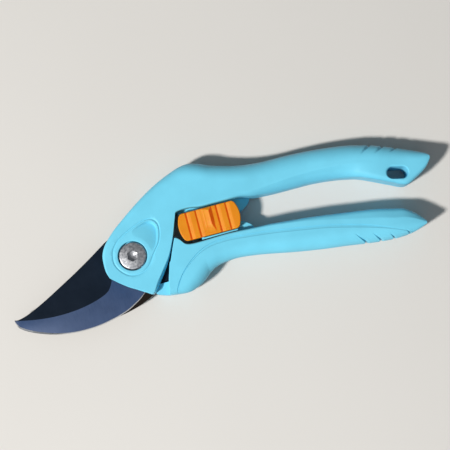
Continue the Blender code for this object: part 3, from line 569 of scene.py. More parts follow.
# A x, y | B x, y | radii | z | facet width, slope | draft.  A is the outer edge, B the inner.
UPPER = [
    (-53.2, -8.8, -52.3, -9.7, 0.45, 0.45, 0.0, T, 3.0, 0.0, 0.0),
    (-54.1, -5.4, -49.9, -12.0, 1.3, 0.7, 0.0, T, 3.0, 0.0, 0.0),
    (-54.0, -1.2, -46.5, -14.9, 1.6, 0.8, 0.0, T, 3.0, 0.0, 0.0),
    (-53.2, 2.5, -43.0, -17.3, 1.7, 0.8, 0.0, T, 3.0, 0.0, 0.0),
    (-50.7, 6.4, -39.7, -19.6, 1.8, 0.8, 0.0, T, 3.0, 0.0, 0.0),
    (-45.6, 11.0, -36.6, -21.0, 2.0, 0.6, 0.0, T, 3.0, 0.0, 0.3),
    (-39.7, 15.0, -33.5, -17.0, 2.2, 0.5, 0.0, T, 3.0, 0.0, 1.1),
    (-32.7, 19.4, -29.5, -12.4, 2.6, 0.5, 0.0, T, 3.0, 0.0, 1.1),
    (-25.8, 23.3, -25.1, -7.1, 3.2, 0.5, 0.0, T, 3.0, 0.0, 0.5),
    (-19.8, 26.1, -21.0, 0.3, 3.8, 0.5, 0.0, T, 3.0, 0.0, 0.2),
    (-13.9, 28.3, -17.9, 7.4, 4.5, 0.6, 0.0, T, 3.0, 0.0, 0.0),
    (-9.0, 29.7, -16.2, 10.3, 5.2, 0.7, 0.0, T, 3.0, 0.0, 0.0),
    (-5.0, 29.95, -11.0, 10.6, 5.8, 0.8, 0.0, T, 3.0, 0.0, 0.0),
    (-0.5, 28.7, -5.0, 9.45, 6.2, 0.9, 0.0, T, 3.0, 0.0, 0.0),
    (4.0, 26.5, 1.0, 9.1, 6.5, 1.0, 0.0, T, 2.6, 0.0, 0.0),
    (9.0, 24.7, 7.0, 8.75, 6.8, 1.2, 0.0, T, 2.2, 0.0, 0.0),
    (14.0, 23.1, 13.0, 8.3, 7.0, 1.6, 0.0, T, 2.0, 0.15, 0.0),
    (20.0, 21.7, 18.5, 6.8, 7.0, 2.2, 0.0, T, 2.4, 0.45, 0.0),
    (28.0, 20.6, 27.0, 5.7, 7.0, 2.6, 0.0, T, 3.4, 0.70, 0.0),
    (38.0, 20.0, 37.0, 5.1, 7.0, 2.6, 0.0, T, 4.2, 0.80, 0.0),
    (48.0, 19.0, 46.0, 4.6, 7.0, 2.6, 0.0, T, 4.5, 0.78, 0.0),
    (58.0, 17.5, 55.0, 3.3, 7.0, 2.6, 0.0, T, 5.0, 0.72, 0.0),
    (66.0, 15.9, 62.0, 1.7, 6.8, 2.5, 0.0, T, 5.6, 0.48, 0.0),
    (72.0, 14.0, 67.0, 0.1, 6.6, 2.4, 0.0, T, 6.2, 0.20, 0.0),
    (78.0, 11.9, 72.5, -2.7, 6.3, 2.3, 0.1, T - 0.1, 6.8, 0.06, 0.0),
    (84.0, 9.1, 79.6, -6.6, 5.8, 2.2, 0.2, T - 0.2, 6.5, 0.02, 0.0),
    (90.0, 6.1, 85.5, -9.4, 5.0, 2.2, 0.4, T - 0.4, 5.0, 0.0, 0.0),
    (95.0, 3.5, 91.0, -7.7, 4.2, 2.2, 0.6, T - 0.6, 3.0, 0.0, 0.0),
    (98.0, 1.5, 96.2, -4.8, 2.4, 1.8, 0.9, T - 0.9, 1.5, 0.0, 0.0),
    (99.3, 0.1, 98.9, -1.9, 0.7, 0.7, 1.3, T - 1.3, 0.8, 0.0, 0.0),
]
# A is the inner edge, B the outer; the facet lies along A
LOWER = [
    (-36.0, -20.2, -35.6, -21.6, 0.4, 0.5, 0.0, L, 0.4, 0.0, 0.0),
    (-32.4, -16.4, -33.1, -22.7, 0.5, 1.4, 0.0, L, 0.4, 0.0, 0.0),
    (-28.8, -10.6, -30.1, -23.7, 0.5, 2.2, 0.0, L, 0.4, 0.0, 0.0),
    (-25.4, -5.2, -26.4, -24.4, 0.5, 3.2, 0.0, L, 0.4, 0.0, 0.0),
    (-22.9, -3.0, -23.0, -24.9, 0.5, 4.2, 0.0, L, 0.4, 0.0, 0.0),
    (-20.7, -0.4, -20.4, -24.9, 0.5, 5.0, 0.0, L, 0.4, 0.0, 0.0),
    (-18.7, -1.5, -17.8, -24.2, 0.6, 5.6, 0.0, L, 0.4, 0.0, 0.0),
    (-16.7, -4.2, -15.2, -23.2, 0.6, 6.2, 0.0, L, 0.4, 0.0, 0.0),
    (-13.8, -5.2, -12.3, -21.5, 0.7, 6.6, 0.0, L, 0.4, 0.0, 0.0),
    (-9.0, -5.5, -9.4, -19.4, 0.7, 6.8, 0.0, L, 0.4, 0.0, 0.0),
    (-3.0, -5.6, -5.6, -17.7, 0.7, 6.9, 0.0, L, 0.4, 0.0, 0.0),
    (3.0, -5.8, -1.0, -17.1, 0.8, 6.9, 0.0, L, 0.5, 0.05, 0.0),
    (9.0, -6.3, 4.0, -17.1, 0.9, 6.9, 0.0, L, 0.6, 0.15, 0.0),
    (15.0, -6.9, 10.0, -18.0, 1.0, 6.9, 0.0, L, 0.7, 0.30, 0.0),
    (22.0, -7.5, 17.0, -19.5, 1.2, 6.9, 0.0, L, 0.9, 0.40, 0.0),
    (30.0, -8.6, 26.0, -21.8, 1.4, 6.9, 0.0, L, 1.2, 0.46, 0.0),
    (38.0, -9.7, 35.0, -23.9, 1.6, 6.9, 0.0, L, 1.7, 0.40, 0.0),
    (46.0, -11.1, 44.0, -25.7, 1.8, 6.9, 0.0, L, 2.4, 0.33, 0.0),
    (54.0, -12.6, 52.0, -27.1, 2.0, 6.8, 0.0, L, 3.1, 0.33, 0.0),
    (62.0, -14.1, 60.0, -28.7, 2.0, 6.6, 0.0, L, 3.8, 0.33, 0.0),
    (70.0, -15.8, 67.5, -30.0, 2.0, 6.3, 0.1, L - 0.1, 4.3, 0.40, 0.0),
    (76.0, -17.6, 74.0, -30.76, 1.9, 5.8, 0.2, L - 0.2, 4.5, 0.44, 0.0),
    (80.9, -19.1, 79.0, -30.85, 1.8, 5.0, 0.4, L - 0.4, 4.3, 0.50, 0.0),
    (84.5, -21.8, 83.6, -30.4, 1.6, 3.4, 0.7, L - 0.7, 3.4, 0.60, 0.0),
    (87.3, -25.0, 86.8, -29.5, 1.1, 1.8, 1.1, L - 1.1, 2.0, 0.70, 0.0),
    (88.9, -27.6, 88.6, -28.8, 0.35, 0.4, 1.5, L - 1.5, 0.4, 0.70, 0.0),
]
# inner end | outer end of a notch | depth | width of its left, right wall
UPPER_NOTCHES = [(69.9, 9.6, 75.6, 12.6, 1.00, 1.45, 0.50), (76.0, 8.0, 81.4, 10.4, 0.98, 1.40, 0.50),
                 (82.6, 6.3, 86.9, 8.1, 0.90, 1.25, 0.45)]
LOWER_NOTCHES = [(56.2, -23.1, 60.6, -29.2, 0.95, 0.22, 1.8), (64.0, -25.4, 67.2, -30.4, 0.90, 0.22, 1.7),
                 (71.4, -27.9, 73.2, -31.2, 0.85, 0.22, 1.5), (78.4, -28.2, 80.4, -31.2, 0.70, 0.22, 1.1)]


def notch_cutter(tree, x0, y0, x1, y1, depth, left, right, low=6.5):
    """A V-shaped groove lying on a surface, which runs out shallow at its inner end and goes on down the side."""
    d = np.array([x1 - x0, y1 - y0])
    length = np.hypot(*d)
    d /= length
    m = np.array([d[1], -d[0]])                 # to the right of the way out
    if m[0] < 0:
        m = -m
    path, last = [], None
    for k in np.linspace(0, 1.25, 50):
        p = np.array([x0, y0]) + d * length * k
        hit = tree.ray_cast(Vector((p[0] * MM, p[1] * MM, 0.05)), Vector((0, 0, -1)))
        if hit[0] is None or hit[0].z / MM < low:
            break
        path.append((*p, hit[0].z / MM, *hit[1]))
        last = p
    z = path[-1][2]
    nx, ny = path[-1][3], path[-1][4]
    h = math.hypot(nx, ny)
    nx, ny = nx / h, ny / h
    while z > 3.0:
        z -= 0.6
        start = Vector(((last[0] + nx * 3) * MM, (last[1] + ny * 3) * MM, z * MM))
        hit = tree.ray_cast(start, Vector((-nx, -ny, 0)))
        if hit[0] is None:
            break
        path.append((hit[0].x / MM, hit[0].y / MM, z, *hit[1]))
    n = len(path)
    rings = []
    for i, (x, y, z, a, b, c) in enumerate(path):
        run = math.hypot(x - x0, y - y0) / length
        t = min(1.0, run / 0.8)
        fade = min(1.0, max(0.0, (z - 3.0) / 4.0)) ** 0.7
        dp = 0.02 + depth * (t ** 1.15) * fade
        nrm = np.array([a, b, c])
        side = np.array([m[0], m[1], 0.0])
        side -= nrm * side.dot(nrm)
        side /= np.linalg.norm(side)
        w = 0.35 + 0.65 * t
        p = np.array([x, y, z])
        rings.append([p - side * (left * w) * 1.6 + nrm * (dp * 0.6), p - nrm * dp, p + side * (right * w) * 1.6 + nrm * (dp * 0.6)])
    return skin("notch", rings)


HOOK = [
    (-88.6, -17.4, "c"), (-82.0, -19.0), (-74.0, -19.8), (-66.0, -19.0), (-59.0, -16.0), (-54.2, -11.4),
    (-51.8, -6.2), (-51.2, 0.0), (-47.4, 6.0), (-41.5, 8.8), (-35.5, 9.4), (-30.0, 12.4), (-24.0, 16.8),
    (-16.0, 20.8), (-8.0, 22.4), (-4.6, 20.2), (-6.0, 17.2), (-13.0, 14.0), (-19.0, 9.6), (-24.2, 3.4),
    (-27.4, -4.0), (-28.4, -13.0), (-28.6, -20.4, "c"), (-33.0, -20.8), (-37.0, -21.3), (-40.6, -22.6),
    (-44.6, -23.9), (-52.0, -25.3), (-62.0, -25.9), (-74.0, -24.8), (-83.0, -21.6),
]
TANG = [
    (-47.0, 8.0), (-41.5, 9.6), (-35.0, 8.2), (-30.5, 3.6), (-27.3, -1.6), (-22.0, -6.0),
    (-14.0, -8.4), (-4.6, -9.4), (-2.6, -11.6), (-4.8, -14.4), (-14.0, -16.8), (-24.0, -17.4),
    (-31.0, -17.5), (-35.6, -17.0), (-39.3, -17.9, "c"), (-44.0, -13.6), (-47.6, -5.0),
]
SEAM = [(-27.2, -27.0, "c"), (-26.3, -24.2), (-25.0, -21.2), (-21.9, -17.2), (-18.6, -14.3), (-14.4, -11.6),
        (-10.5, -9.9), (-5.9, -8.9), (0.5, -8.8), (6.7, -9.5), (19.5, -11.5), (33.6, -14.4), (46.6, -17.4),
        (59.3, -21.3), (67.8, -24.3), (75.9, -27.7), (81.5, -30.6, "c"), (81.5, -40.0, "c"), (-27.2, -40.0, "c")]
STEP = [(-17.4, 6.0, "c"), (-19.2, 2.2), (-20.9, -0.9), (-23.2, -5.4), (-25.1, -9.3), (-25.9, -10.3),
        (-27.2, -13.6), (-28.9, -18.4), (-29.9, -24.0), (-30.2, -30.0, "c"), (-70.0, -30.0, "c"), (-70.0, 6.0, "c")]
CHEEK = around(PIVOT, 12.8, 70, 262, 60) + [(-37.0, -16.8), (-33.0, -20.2), (-26.0, -22.0), (-16.0, -19.0),
                                            (-13.0, -12.0), (-15.0, -6.0), (-19.0, -1.6), (-24.0, 1.4), (-29.0, 6.0)]
UPPER_WEB = [(-16.0, 13.4, "c"), (-16.2, 3.4, "c"), (-3.4, 2.6, "c"), (8.8, 1.9), (11.6, 2.7), (14.0, 3.9),
             (16.0, 5.4), (17.0, 7.4), (17.0, 10.0, "c")]
LOWER_WEB = [(-8.8, -7.5, "c"), (-8.8, 1.5, "c"), (-3.0, 1.4), (7.0, 0.6), (9.6, -1.6), (12.2, -3.0),
             (14.4, -5.0), (15.4, -8.0, "c")]
tang_line, hook_line = smooth(TANG, 8, True), smooth(HOOK, 8, True)
seam_line, step_line = smooth(SEAM, 10, True), smooth(STEP, 10, True)

# ---------------------------------------------------------------- upper handle
upper = skin("upper_handle_shell", handle_rings(UPPER, 20, "B"))
shell_tree = BVHTree.FromObject(upper, bpy.context.evaluated_depsgraph_get())
for row in UPPER_NOTCHES:
    cut(upper, notch_cutter(shell_tree, *row))
upper_web = rounded_plate("w", smooth(UPPER_WEB, 6, True), WEB_Z[0], WEB_Z[1], 0.45)
ramp = [[(x, y, z) for x, z in ((10.4, 9.62), (18.5, 4.4), (18.5, 12.0), (10.4, 12.0))] for y in (-2.0, 14.0)]
cut(upper_web, skin("ramp", ramp))
join(upper, upper_web)
swing = around(PIVOT, SWING_R, 80, -75, 80) + [(-50, -60), (-80, -60), (-80, 60), (-50, 60)]
cut(upper, prism("c", swing, -2.0, CHEEK_FRONT))
cut(upper, prism("c", grow(hook_line, 0.3), HOOK_Z[0] - 0.3, HOOK_Z[1] + 0.3))
for at in HOOK_PINS:
    cut(upper, flared("c", circle(at, PIN_D + 0.6), 1.0, PIN_Z[1] + 0.4, 0.01))
    cut(upper, prism("c", circle(at, PIN_D + 0.6), -1.0, 2.0))
cut(upper, flared("c", circle(PIVOT, BORE_D, 96), BORE_Z, T, 0.35))
cut(upper, prism("c", circle(PIVOT, 9.6), CHEEK_FRONT - 1, BORE_Z + 1))
cut(upper, prism("c", circle(PIVOT, 18.8, 64), CHEEK_FRONT - 1, CHEEK_FRONT + 0.55))

# teardrop dish round the screw: a fine groove, a sloping wall and a tilted floor
GROOVE = [(-48.7, 1.0), (-47.2, 3.7), (-44.2, 6.4), (-38.5, 9.1), (-32.1, 11.1), (-27.9, 10.9), (-25.7, 8.2),
          (-26.0, 4.1), (-27.8, -0.2), (-31.0, -3.9), (-35.0, -8.8), (-39.2, -10.8), (-43.9, -10.3),
          (-47.4, -7.3), (-49.2, -3.3)]
G = np.array(smooth(GROOVE, 24, True))
c0 = np.array(PIVOT)
ray = G - c0
R = np.hypot(ray[:, 0], ray[:, 1])
ray /= R[:, None]
reach = np.clip((R - 9.6) / 6.0, 0, 1)
reach = reach * reach * (3 - 2 * reach)
foot = R - 1.15 - 0.95 * np.clip((R - 9.6) / 6.0, 0, 1)        # where the floor meets the wall
lip = foot + 0.25 + 0.85 * reach                               # top of the wall
start = np.minimum(8.3, foot - 0.1)
turn = np.arctan2(ray[:, 1], ray[:, 0]) - math.radians(29.0)
deep = 0.20 * np.clip(foot * np.cos(turn) - 7.6, 0, None)
rings = []


def dish_ring(r, z):
    rings.append(np.stack([c0[0] + ray[:, 0] * r, c0[1] + ray[:, 1] * r, z * np.ones_like(R)], 1))


for k in (0.25, 0.5, 0.75, 1.0):
    dish_ring(start * k, T + 0.03)
for k in np.linspace(0, 1, 16)[1:]:
    t = 0.85 * k + 0.15 * k * k
    dish_ring(start + (foot - start) * k, T + 0.03 - (deep + 0.03 * reach) * t)
for k in (0.08, 0.25, 0.5, 0.75, 0.92, 1.0):
    t = k * k * (3 - 2 * k) * 0.3 + k * 0.7
    dish_ring(foot + (lip - foot) * k, T + 0.03 - (deep + 0.03 * reach) * (1 - t))
for k in np.linspace(-1, 1, 13):
    dish_ring(R + 0.62 * k, T + 0.02 - 0.30 * math.cos(0.5 * math.pi * k) ** 1.3)
dish_ring(R + 0.9, T + 0.03)
dish_ring(R + 0.9, T + 1.5)
cut(upper, skin("dish", rings))

# hanging hole with a soft rim on both faces
hole = stadium(HANG_C, HANG_TILT, 9.5, 5.3)
steps = [(1.0, -2.0)]
for k in range(7):
    a = math.pi / 2 * k / 6
    steps.append((1.0 * (1 - math.sin(a)), 0.2 + 1.0 * (1 - math.cos(a))))
for k in range(7):
    a = math.pi / 2 * k / 6
    steps.append((1.0 * (1 - math.cos(a)), T - 0.25 - 1.0 * (1 - math.sin(a))))
steps.append((1.0, T + 2.0))
cut(upper, layers("hang", hole, steps))
cut(upper, prism("c", lock_rect((POST_U[0] - 0.3, POST_U[1] + LOCK_TRAVEL + 0.3), (POST_V[0] - 0.3, POST_V[1] + 0.3)), -1.0, 12.0))
cut(upper, prism("c", lock_rect((-12.6, 1.4), (-8.0, -0.9)), -1.0, 3.0))
cut(upper, prism("c", lock_rect((-11.6, -1.0), (-8.2, POST_V[0] + 0.5)), 3.4, 8.4))


def bore_y(y0, y1, d, seg=48):
    rings = [[(SPRING_X + 0.5 * d * math.cos(2 * math.pi * k / seg), y, SPRING_Z + 0.5 * d * math.sin(2 * math.pi * k / seg))
              for k in range(seg)] for y in (y0, y1)]
    return skin("bore_y", rings)


cut(upper, bore_y(-2.0, SPRING_Y[1] + 0.3, SPRING_D + 0.8))
finish_piece(upper, "upper", mat_handle, ["upper_handle"])

# ---------------------------------------------------------------- lower handle core and its grip cover
full = skin("full", handle_rings(LOWER, 20, "A"))
shell_tree = BVHTree.FromObject(full, bpy.context.evaluated_depsgraph_get())
for row in LOWER_NOTCHES:
    cut(full, notch_cutter(shell_tree, *row))
core = dup(full, "lower_handle_core")
grip = full
grip.name = grip.data.name = "lower_grip_cover"
join(core, rounded_plate("cheek", CHEEK, 0.02, CHEEK_BACK, 0.3))
cut(core, prism("c", grow(seam_line, 0.03), -3.0, 21.0))
boolean(grip, prism("c", grow(seam_line, -0.03), -2.0, 20.0), "INTERSECT")


def seam_groove():
    """The bevel along the seam on the front face: a low step on the inner side, rising again to the seam."""
    path = smooth(SEAM[:-2], 12)
    dense = []
    for a, b in zip(path, path[1:]):
        steps = max(1, int(math.hypot(b[0] - a[0], b[1] - a[1]) / 0.35))
        dense += [(a[0] + (b[0] - a[0]) * k / steps, a[1] + (b[1] - a[1]) * k / steps) for k in range(steps)]
    dense.append(path[-1])
    P = np.array(dense)
    t = np.gradient(P, axis=0)
    t /= np.hypot(t[:, 0], t[:, 1])[:, None]
    n = np.stack([-t[:, 1], t[:, 0]], 1)
    rings = []
    for p, m in zip(P, n):
        w = max(0.30, min(1.0, (p[0] + 26.0) / 22.0, (86.0 - p[0]) / 26.0))
        wide = 0.10 + 1.32 * w
        low = 0.06 + 0.26 * max(0.30, min(1.0, (86.0 - p[0]) / 26.0))
        wall = 0.16 + 0.16 * (1 - w)
        zs = []
        for o in (-0.10, wide):
            q = p + m * o
            hit = shell_tree.ray_cast(Vector((q[0] * MM, q[1] * MM, 0.05)), Vector((0, 0, -1)))
            zs.append(hit[0].z / MM if hit[0] is not None else None)
        if zs[0] is None or zs[1] is None or min(zs) < 5.0:
            continue
        at = lambda o: zs[0] + (zs[1] - zs[0]) * (o + 0.10) / (wide + 0.10)
        ring = []
        for o, lift in ((-1.0, 0.75), (-0.10, 0.01), (0.0, -0.06), (wide - wall, -low), (wide, 0.01),
                        (wide + 0.9, 0.75)):
            z = at(o) if -0.2 < o <= wide else (zs[0] if o < 0 else zs[1])
            ring.append((p[0] + m[0] * o, p[1] + m[1] * o, z + lift))
        rings.append(ring)
    return skin("groove", rings)


groove = seam_groove()
cut(core, groove, keep=True)
cut(grip, groove)
web = rounded_plate("w", smooth(LOWER_WEB, 6, True), WEB_Z[0], WEB_Z[1], 0.45)
join(web, rounded_plate("boss", lock_rect((-5.0, 1.0), (0.8, 2.8)), WEB_Z[1] - 1.0, 11.3, 0.3))
join(web, rounded_plate("ledge", lock_rect((-5.2, 11.4), (6.6, 7.3)), WEB_Z[1] - 1.0, 13.0, 0.15, 2))
join(core, web)
cut(core, flared("c", step_line, BLADE_Z[1], L, 0.35))
hook_room = prism("hook_room", around(PIVOT, SWING_R, 0, 355, 72), CHEEK_BACK, BLADE_Z[0] - 0.3)
tang_slot = prism("tang_slot", grow(tang_line, CLEAR), BLADE_Z[0] - 0.31, BLADE_Z[1] + CLEAR)
cut(core, hook_room, tang_slot, keep=True)
cut(grip, hook_room, tang_slot)
for at in BLADE_PINS:
    cut(core, prism("c", circle(at, PIN_D + 0.6), -1.0, PIN_Z[1] + 0.4))
    cut(grip, prism("c", circle(at, PIN_D + 1.2), -1.0, 8.0))
hexagon = around(PIVOT, 0.5 * 11.2 / math.cos(math.pi / 6), 12, 312, 6)
cut(core, prism("c", hexagon, -1.0, 3.6), prism("c", circle(PIVOT, 9.6), 3.0, CHEEK_BACK + 1))
cut(core, bore_y(SPRING_Y[0] - 0.3, 4.0, SPRING_D + 0.8))
finish_piece(core, "lower", mat_handle, ["lower_handle"])
finish_piece(grip, "lower", mat_grip, ["lower_grip"])

# ---------------------------------------------------------------- cutting blade
# spine | bevel line | cutting edge, from the tip to the ricasso
BLADE = [
    (-99.5, -13.2, -99.5, -13.5, -99.9, -14.2),
    (-97.4, -13.5, -97.0, -14.2, -98.4, -17.5),
    (-92.0, -12.2, -90.0, -15.9, -92.6, -21.3),
    (-84.0, -9.0, -82.0, -17.1, -84.4, -24.6),
    (-76.0, -5.3, -74.5, -17.4, -75.4, -26.6),
    (-68.0, -1.5, -68.0, -17.0, -66.0, -27.1),
    (-60.0, 2.6, -61.5, -15.8, -57.5, -26.2),
    (-53.6, 6.1, -56.2, -13.8, -50.6, -24.6),
    (-50.2, 7.9, -53.3, -10.2, -46.4, -22.8),
    (-47.0, 8.9, -51.0, -5.0, -43.0, -21.0),
    (-42.0, 9.4, -40.7, -3.0, -39.0, -18.1),
]
z0, z1 = BLADE_Z
rings, tags = [], []
for sx, sy, cx, cy, ex, ey in smooth(BLADE, 14):
    S, C, E = np.array([sx, sy]), np.array([cx, cy]), np.array([ex, ey])
    sc, ce = np.linalg.norm(C - S), np.linalg.norm(E - C)
    a = (C - S) / max(sc, 1e-6)
    b = (E - C) / max(ce, 1e-6)
    cham = min(0.22, 0.3 * sc)
    hone = min(0.38 + 0.45 * max(0.0, min(1.0, (-78.0 - ex) / 12.0)), 0.3 * ce)
    M = E - b * hone
    ring = [(*S, z0 + cham), (*S, z1 - cham)]
    tags = [0]
    ring.append((*(S + a * cham), z1))
    tags.append(0)
    for k in range(1, 9):
        p = S + a * (cham + (sc - cham) * k / 8)
        ring.append((*p, z1))
        tags.append(0)
    for k in range(1, 11):
        t = k / 10
        p = C + (M - C) * t
        hollow = 0.10 * math.sin(math.pi * t) * min(1.0, ce / 6)
        ring.append((*p, z1 + (z0 + 0.60 - z1) * t - hollow))
        tags.append(1)
    ring.append((*E, z0 + 0.10))
    tags.append(2)
    ring.append((*E, z0))
    tags.append(2)
    for k in range(1, 7):
        p = E + (S + a * cham - E) * k / 6
        ring.append((*p, z0))
        tags.append(0)
    tags.append(0)
    rings.append(ring)
blade = skin("blade_body", rings, tags, [mat_coat, mat_ground, mat_edge])
join(blade, rounded_plate("tang", tang_line, z0 + 0.02, z1 - 0.02, 0.15, 2))
cut(blade, prism("c", circle(PIVOT, 9.6), z0 - 1, z1 + 1))
for at in BLADE_PINS:
    cut(blade, prism("c", circle(at, PIN_D + 0.6), 6.5, 12.0))
finish_piece(blade, "lower", None, ["cutting_blade"], angle=9.0)

# ---------------------------------------------------------------- counter blade
hook = rounded_plate("counter_blade_plate", hook_line, HOOK_Z[0], HOOK_Z[1] - 0.05, 0.28, 3)
cut(hook, prism("c", circle(PIVOT, 9.6), HOOK_Z[0] - 1, HOOK_Z[1] + 1))
for at in HOOK_PINS:
    cut(hook, prism("c", circle(at, PIN_D + 0.6), 3.0, 9.0))
finish_piece(hook, "upper", mat_hook, ["counter_blade"])

# ---------------------------------------------------------------- pivot screw and nut
head_top, r_head = 15.8, 6.02
profile = [(2.35, 0.45)]
z = 0.6
while z < 3.3:
    profile += [(2.7, z + 0.1), (2.7, z + 0.2), (2.42, z + 0.4), (2.42, z + 0.5)]
    z += 0.5
profile += [(3.0, 3.45), (3.0, 13.55), (3.2, 13.65), (r_head - 0.15, 13.65), (r_head, 13.8), (r_head, head_top - 0.80),
            (r_head - 0.05, head_top - 0.66), (r_head - 0.16, head_top - 0.54), (r_head - 0.34, head_top - 0.45)]
profile += [(r, head_top - 0.45 * (r / 5.6) ** 2) for r in (5.4, 5.0, 4.5, 4.0, 3.5, 3.0, 2.6)]
bolt = lathe("pivot_screw", profile, PIVOT, 128)
socket = around(PIVOT, 0.5 * 4.2 / math.cos(math.pi / 6), 18, 318, 6)
cut(bolt, layers("c", socket, [(-1.6, head_top - 2.1), (0.0, head_top - 1.6), (0.0, head_top - 0.34), (0.22, head_top - 0.06),
                               (0.22, head_top + 1)]))
finish_piece(bolt, "lower", mat_bolt, ["pivot_bolt"])

nut = prism("hex_nut", around(PIVOT, 0.5 * 10.5 / math.cos(math.pi / 6), 12, 312, 6), 0.3, 2.5)
boolean(nut, lathe("c", [(5.15, 0.3), (6.2, 0.85), (6.2, 1.95), (5.15, 2.5)], PIVOT, 96), "INTERSECT")
cut(nut, lathe("c", [(3.3, -1.0), (3.3, 0.3), (2.95, 0.65), (2.95, 2.2), (3.3, 2.5), (3.3, 4.0)], PIVOT, 64))
finish_piece(nut, "lower", mat_bolt, ["pivot_nut"])

# ---------------------------------------------------------------- return spring
turns, per = SPRING_TURNS, 28
radius = 0.5 * (SPRING_D - WIRE_D)
y0, y1 = SPRING_Y[0] + 0.5 * WIRE_D, SPRING_Y[1] - 0.5 * WIRE_D
close, tight = 1.25, WIRE_D * 1.15
free = (y1 - y0 - 2 * close * tight) / (turns - 2 * close)
points = []
for i in range(int(turns * per) + 1):
    t = i / per
    if t < close:
        y = y0 + t * tight
    elif t > turns - close:
        y = y1 - (turns - t) * tight
    else:
        y = y0 + close * tight + (t - close) * free
    a = 2 * math.pi * t
    points.append((SPRING_X + radius * math.cos(a), y, SPRING_Z + radius * math.sin(a)))
spring = tube("return_spring_coil", points, 0.5 * WIRE_D, 14)
finish_piece(spring, None, mat_spring, ["return_spring"], angle=50)
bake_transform(spring)

# ---------------------------------------------------------------- lock slide
LU, LV, LOW_Z, TOP_Z = 14.1, 6.3, 11.6, 14.0


def ease(x):
    x = np.clip(x, 0, 1)
    return x * x * (3 - 2 * x)


def lock_height(u, v):
    """Height of the thumb face: flats, four one-sided grooves and a ridge that fades towards the lower edge."""
    crest = 0.75 + 1.25 * ease((v - 1.0) / 5.0)
    high = 0.92 * (1 - 0.95 * ease((v + 0.2) / 6.0))
    t = np.clip((u + 2.9) / (crest + 2.9), 0, 1)
    rise = high * (0.60 * t + 0.40 * t * t) + 0.07 * np.exp(-((u + 1.7) / 0.30) ** 2) * high
    fall = high * np.clip(1 - (u - crest) / (0.40 + 1.25 * high), 0, 1)
    ridge = np.where(u <= crest, rise, fall)
    ridge = np.minimum(ridge, 0.62 * np.clip(v + 6.15, 0, None))
    z = TOP_Z - 0.14 + ridge
    for g in (-9.2, -4.75, 4.7, 9.05):
        x = u - g
        w = np.where(x < 0, np.clip(1 + x / 0.80, 0, 1), np.clip(1 - x / 1.60, 0, 1))
        z = z - 0.38 * np.where(x < 0, w, w ** 1.2)
    return z


nu, nv = 340, 60
tu = np.linspace(-1, 1, nu)
tv = np.sin(np.linspace(-math.pi / 2, math.pi / 2, nv))
tv = 0.5 * tv + 0.5 * np.linspace(-1, 1, nv)
V = tv[None, :] * LV * np.ones((nu, 1))
arc = 11.6
end = LU - (arc - np.sqrt(arc * arc - V ** 2))
corner = np.clip((np.abs(V) - (LV - 1.1)) / 1.1, 0, 1)
end = end - 1.1 * (1 - np.sqrt(np.clip(1 - corner ** 2, 0, 1)))
s = tu[:, None] * np.ones((1, nv))
s = np.sign(s) * np.abs(s) ** 1.0
inner = 0.72
lin = s * LU
far = np.sign(s) * (inner * LU + (np.abs(s) - inner) / (1 - inner) * (end - inner * LU))
U = np.where(np.abs(s) <= inner, lin, far)
edge = np.minimum(LV - np.abs(V), end - np.abs(U))
edge = np.clip(edge, 0, 10)
r = 0.5
soft = r - np.sqrt(np.clip(r * r - np.clip(r - edge, 0, r) ** 2, 0, None))
Zt = lock_height(U, V) - soft
c, sn = math.cos(LOCK_TILT), math.sin(LOCK_TILT)
X = LOCK_C[0] + U * c + V * sn
Y = LOCK_C[1] + U * sn - V * c
top = np.stack([X, Y, Zt], -1).reshape(-1, 3)
ring_idx = ([i * nv for i in range(nu)] + [(nu - 1) * nv + j for j in range(1, nv)]
            + [i * nv + nv - 1 for i in range(nu - 2, -1, -1)] + [j for j in range(nv - 2, 0, -1)])
faces = []
for i in range(nu - 1):
    for j in range(nv - 1):
        a = i * nv + j
        faces.append((a, a + 1, a + nv + 1, a + nv))
border = top[ring_idx]
skirt = []
lower_ring = [(p[0], p[1], LOW_Z + 0.25) for p in border]
centre = np.array([LOCK_C[0], LOCK_C[1]])
foot_ring = [(p[0] - (p[0] - centre[0]) * 0.02, p[1] - (p[1] - centre[1]) * 0.035, LOW_Z) for p in border]
nb_ = len(border)
base = len(top)
verts = np.concatenate([top, np.array(lower_ring), np.array(foot_ring)])
for k in range(nb_):
    k2 = (k + 1) % nb_
    faces.append((ring_idx[k], ring_idx[k2], base + k2, base + k))
    faces.append((base + k, base + k2, base + nb_ + k2, base + nb_ + k))
faces.append([base + nb_ + k for k in range(nb_)])
lock = make("thumb_lock_slide", verts, faces)
lock.data.materials.append(mat_lock)
lock.data.materials.append(mat_lock_painted_shade)
# painted shade: faces that fall steeply with u (the grooves' left walls and the ridge's fall, turned away from the key
# light) get the redder second orange material as painted shade; deep marks these faces
steep = (lock_height(U + 0.04, V) - lock_height(U - 0.04, V)) / 0.08
steep = 0.25 * (steep[:-1, :-1] + steep[1:, :-1] + steep[:-1, 1:] + steep[1:, 1:])
deep = (steep < -0.22).astype(np.int32).reshape(-1)
index = np.zeros(len(lock.data.polygons), np.int32)
index[:len(deep)] = deep
lock.data.polygons.foreach_set("material_index", index)
lock = outward(lock)
join(lock, rounded_plate("foot", lock_rect((-12.0, -4.6), (-5.9, -2.0)), 9.9, LOW_Z + 0.5, 0.2, 2))
join(lock, rounded_plate("post", lock_rect(POST_U, POST_V), 2.9, 10.5, 0.2, 2))
join(lock, rounded_plate("tongue", lock_rect((-12.0, -6.0), (3.1, 5.1)), 9.9, LOW_Z + 0.5, 0.2, 2))
post = in_lock(0.5 * (POST_U[0] + POST_U[1]), 0.5 * (POST_V[0] + POST_V[1]))
cut(lock, prism("c", circle(post, 2.5, 32), 1.0, 8.0))
finish_piece(lock, "lock", None, ["lock_slide"], angle=40)

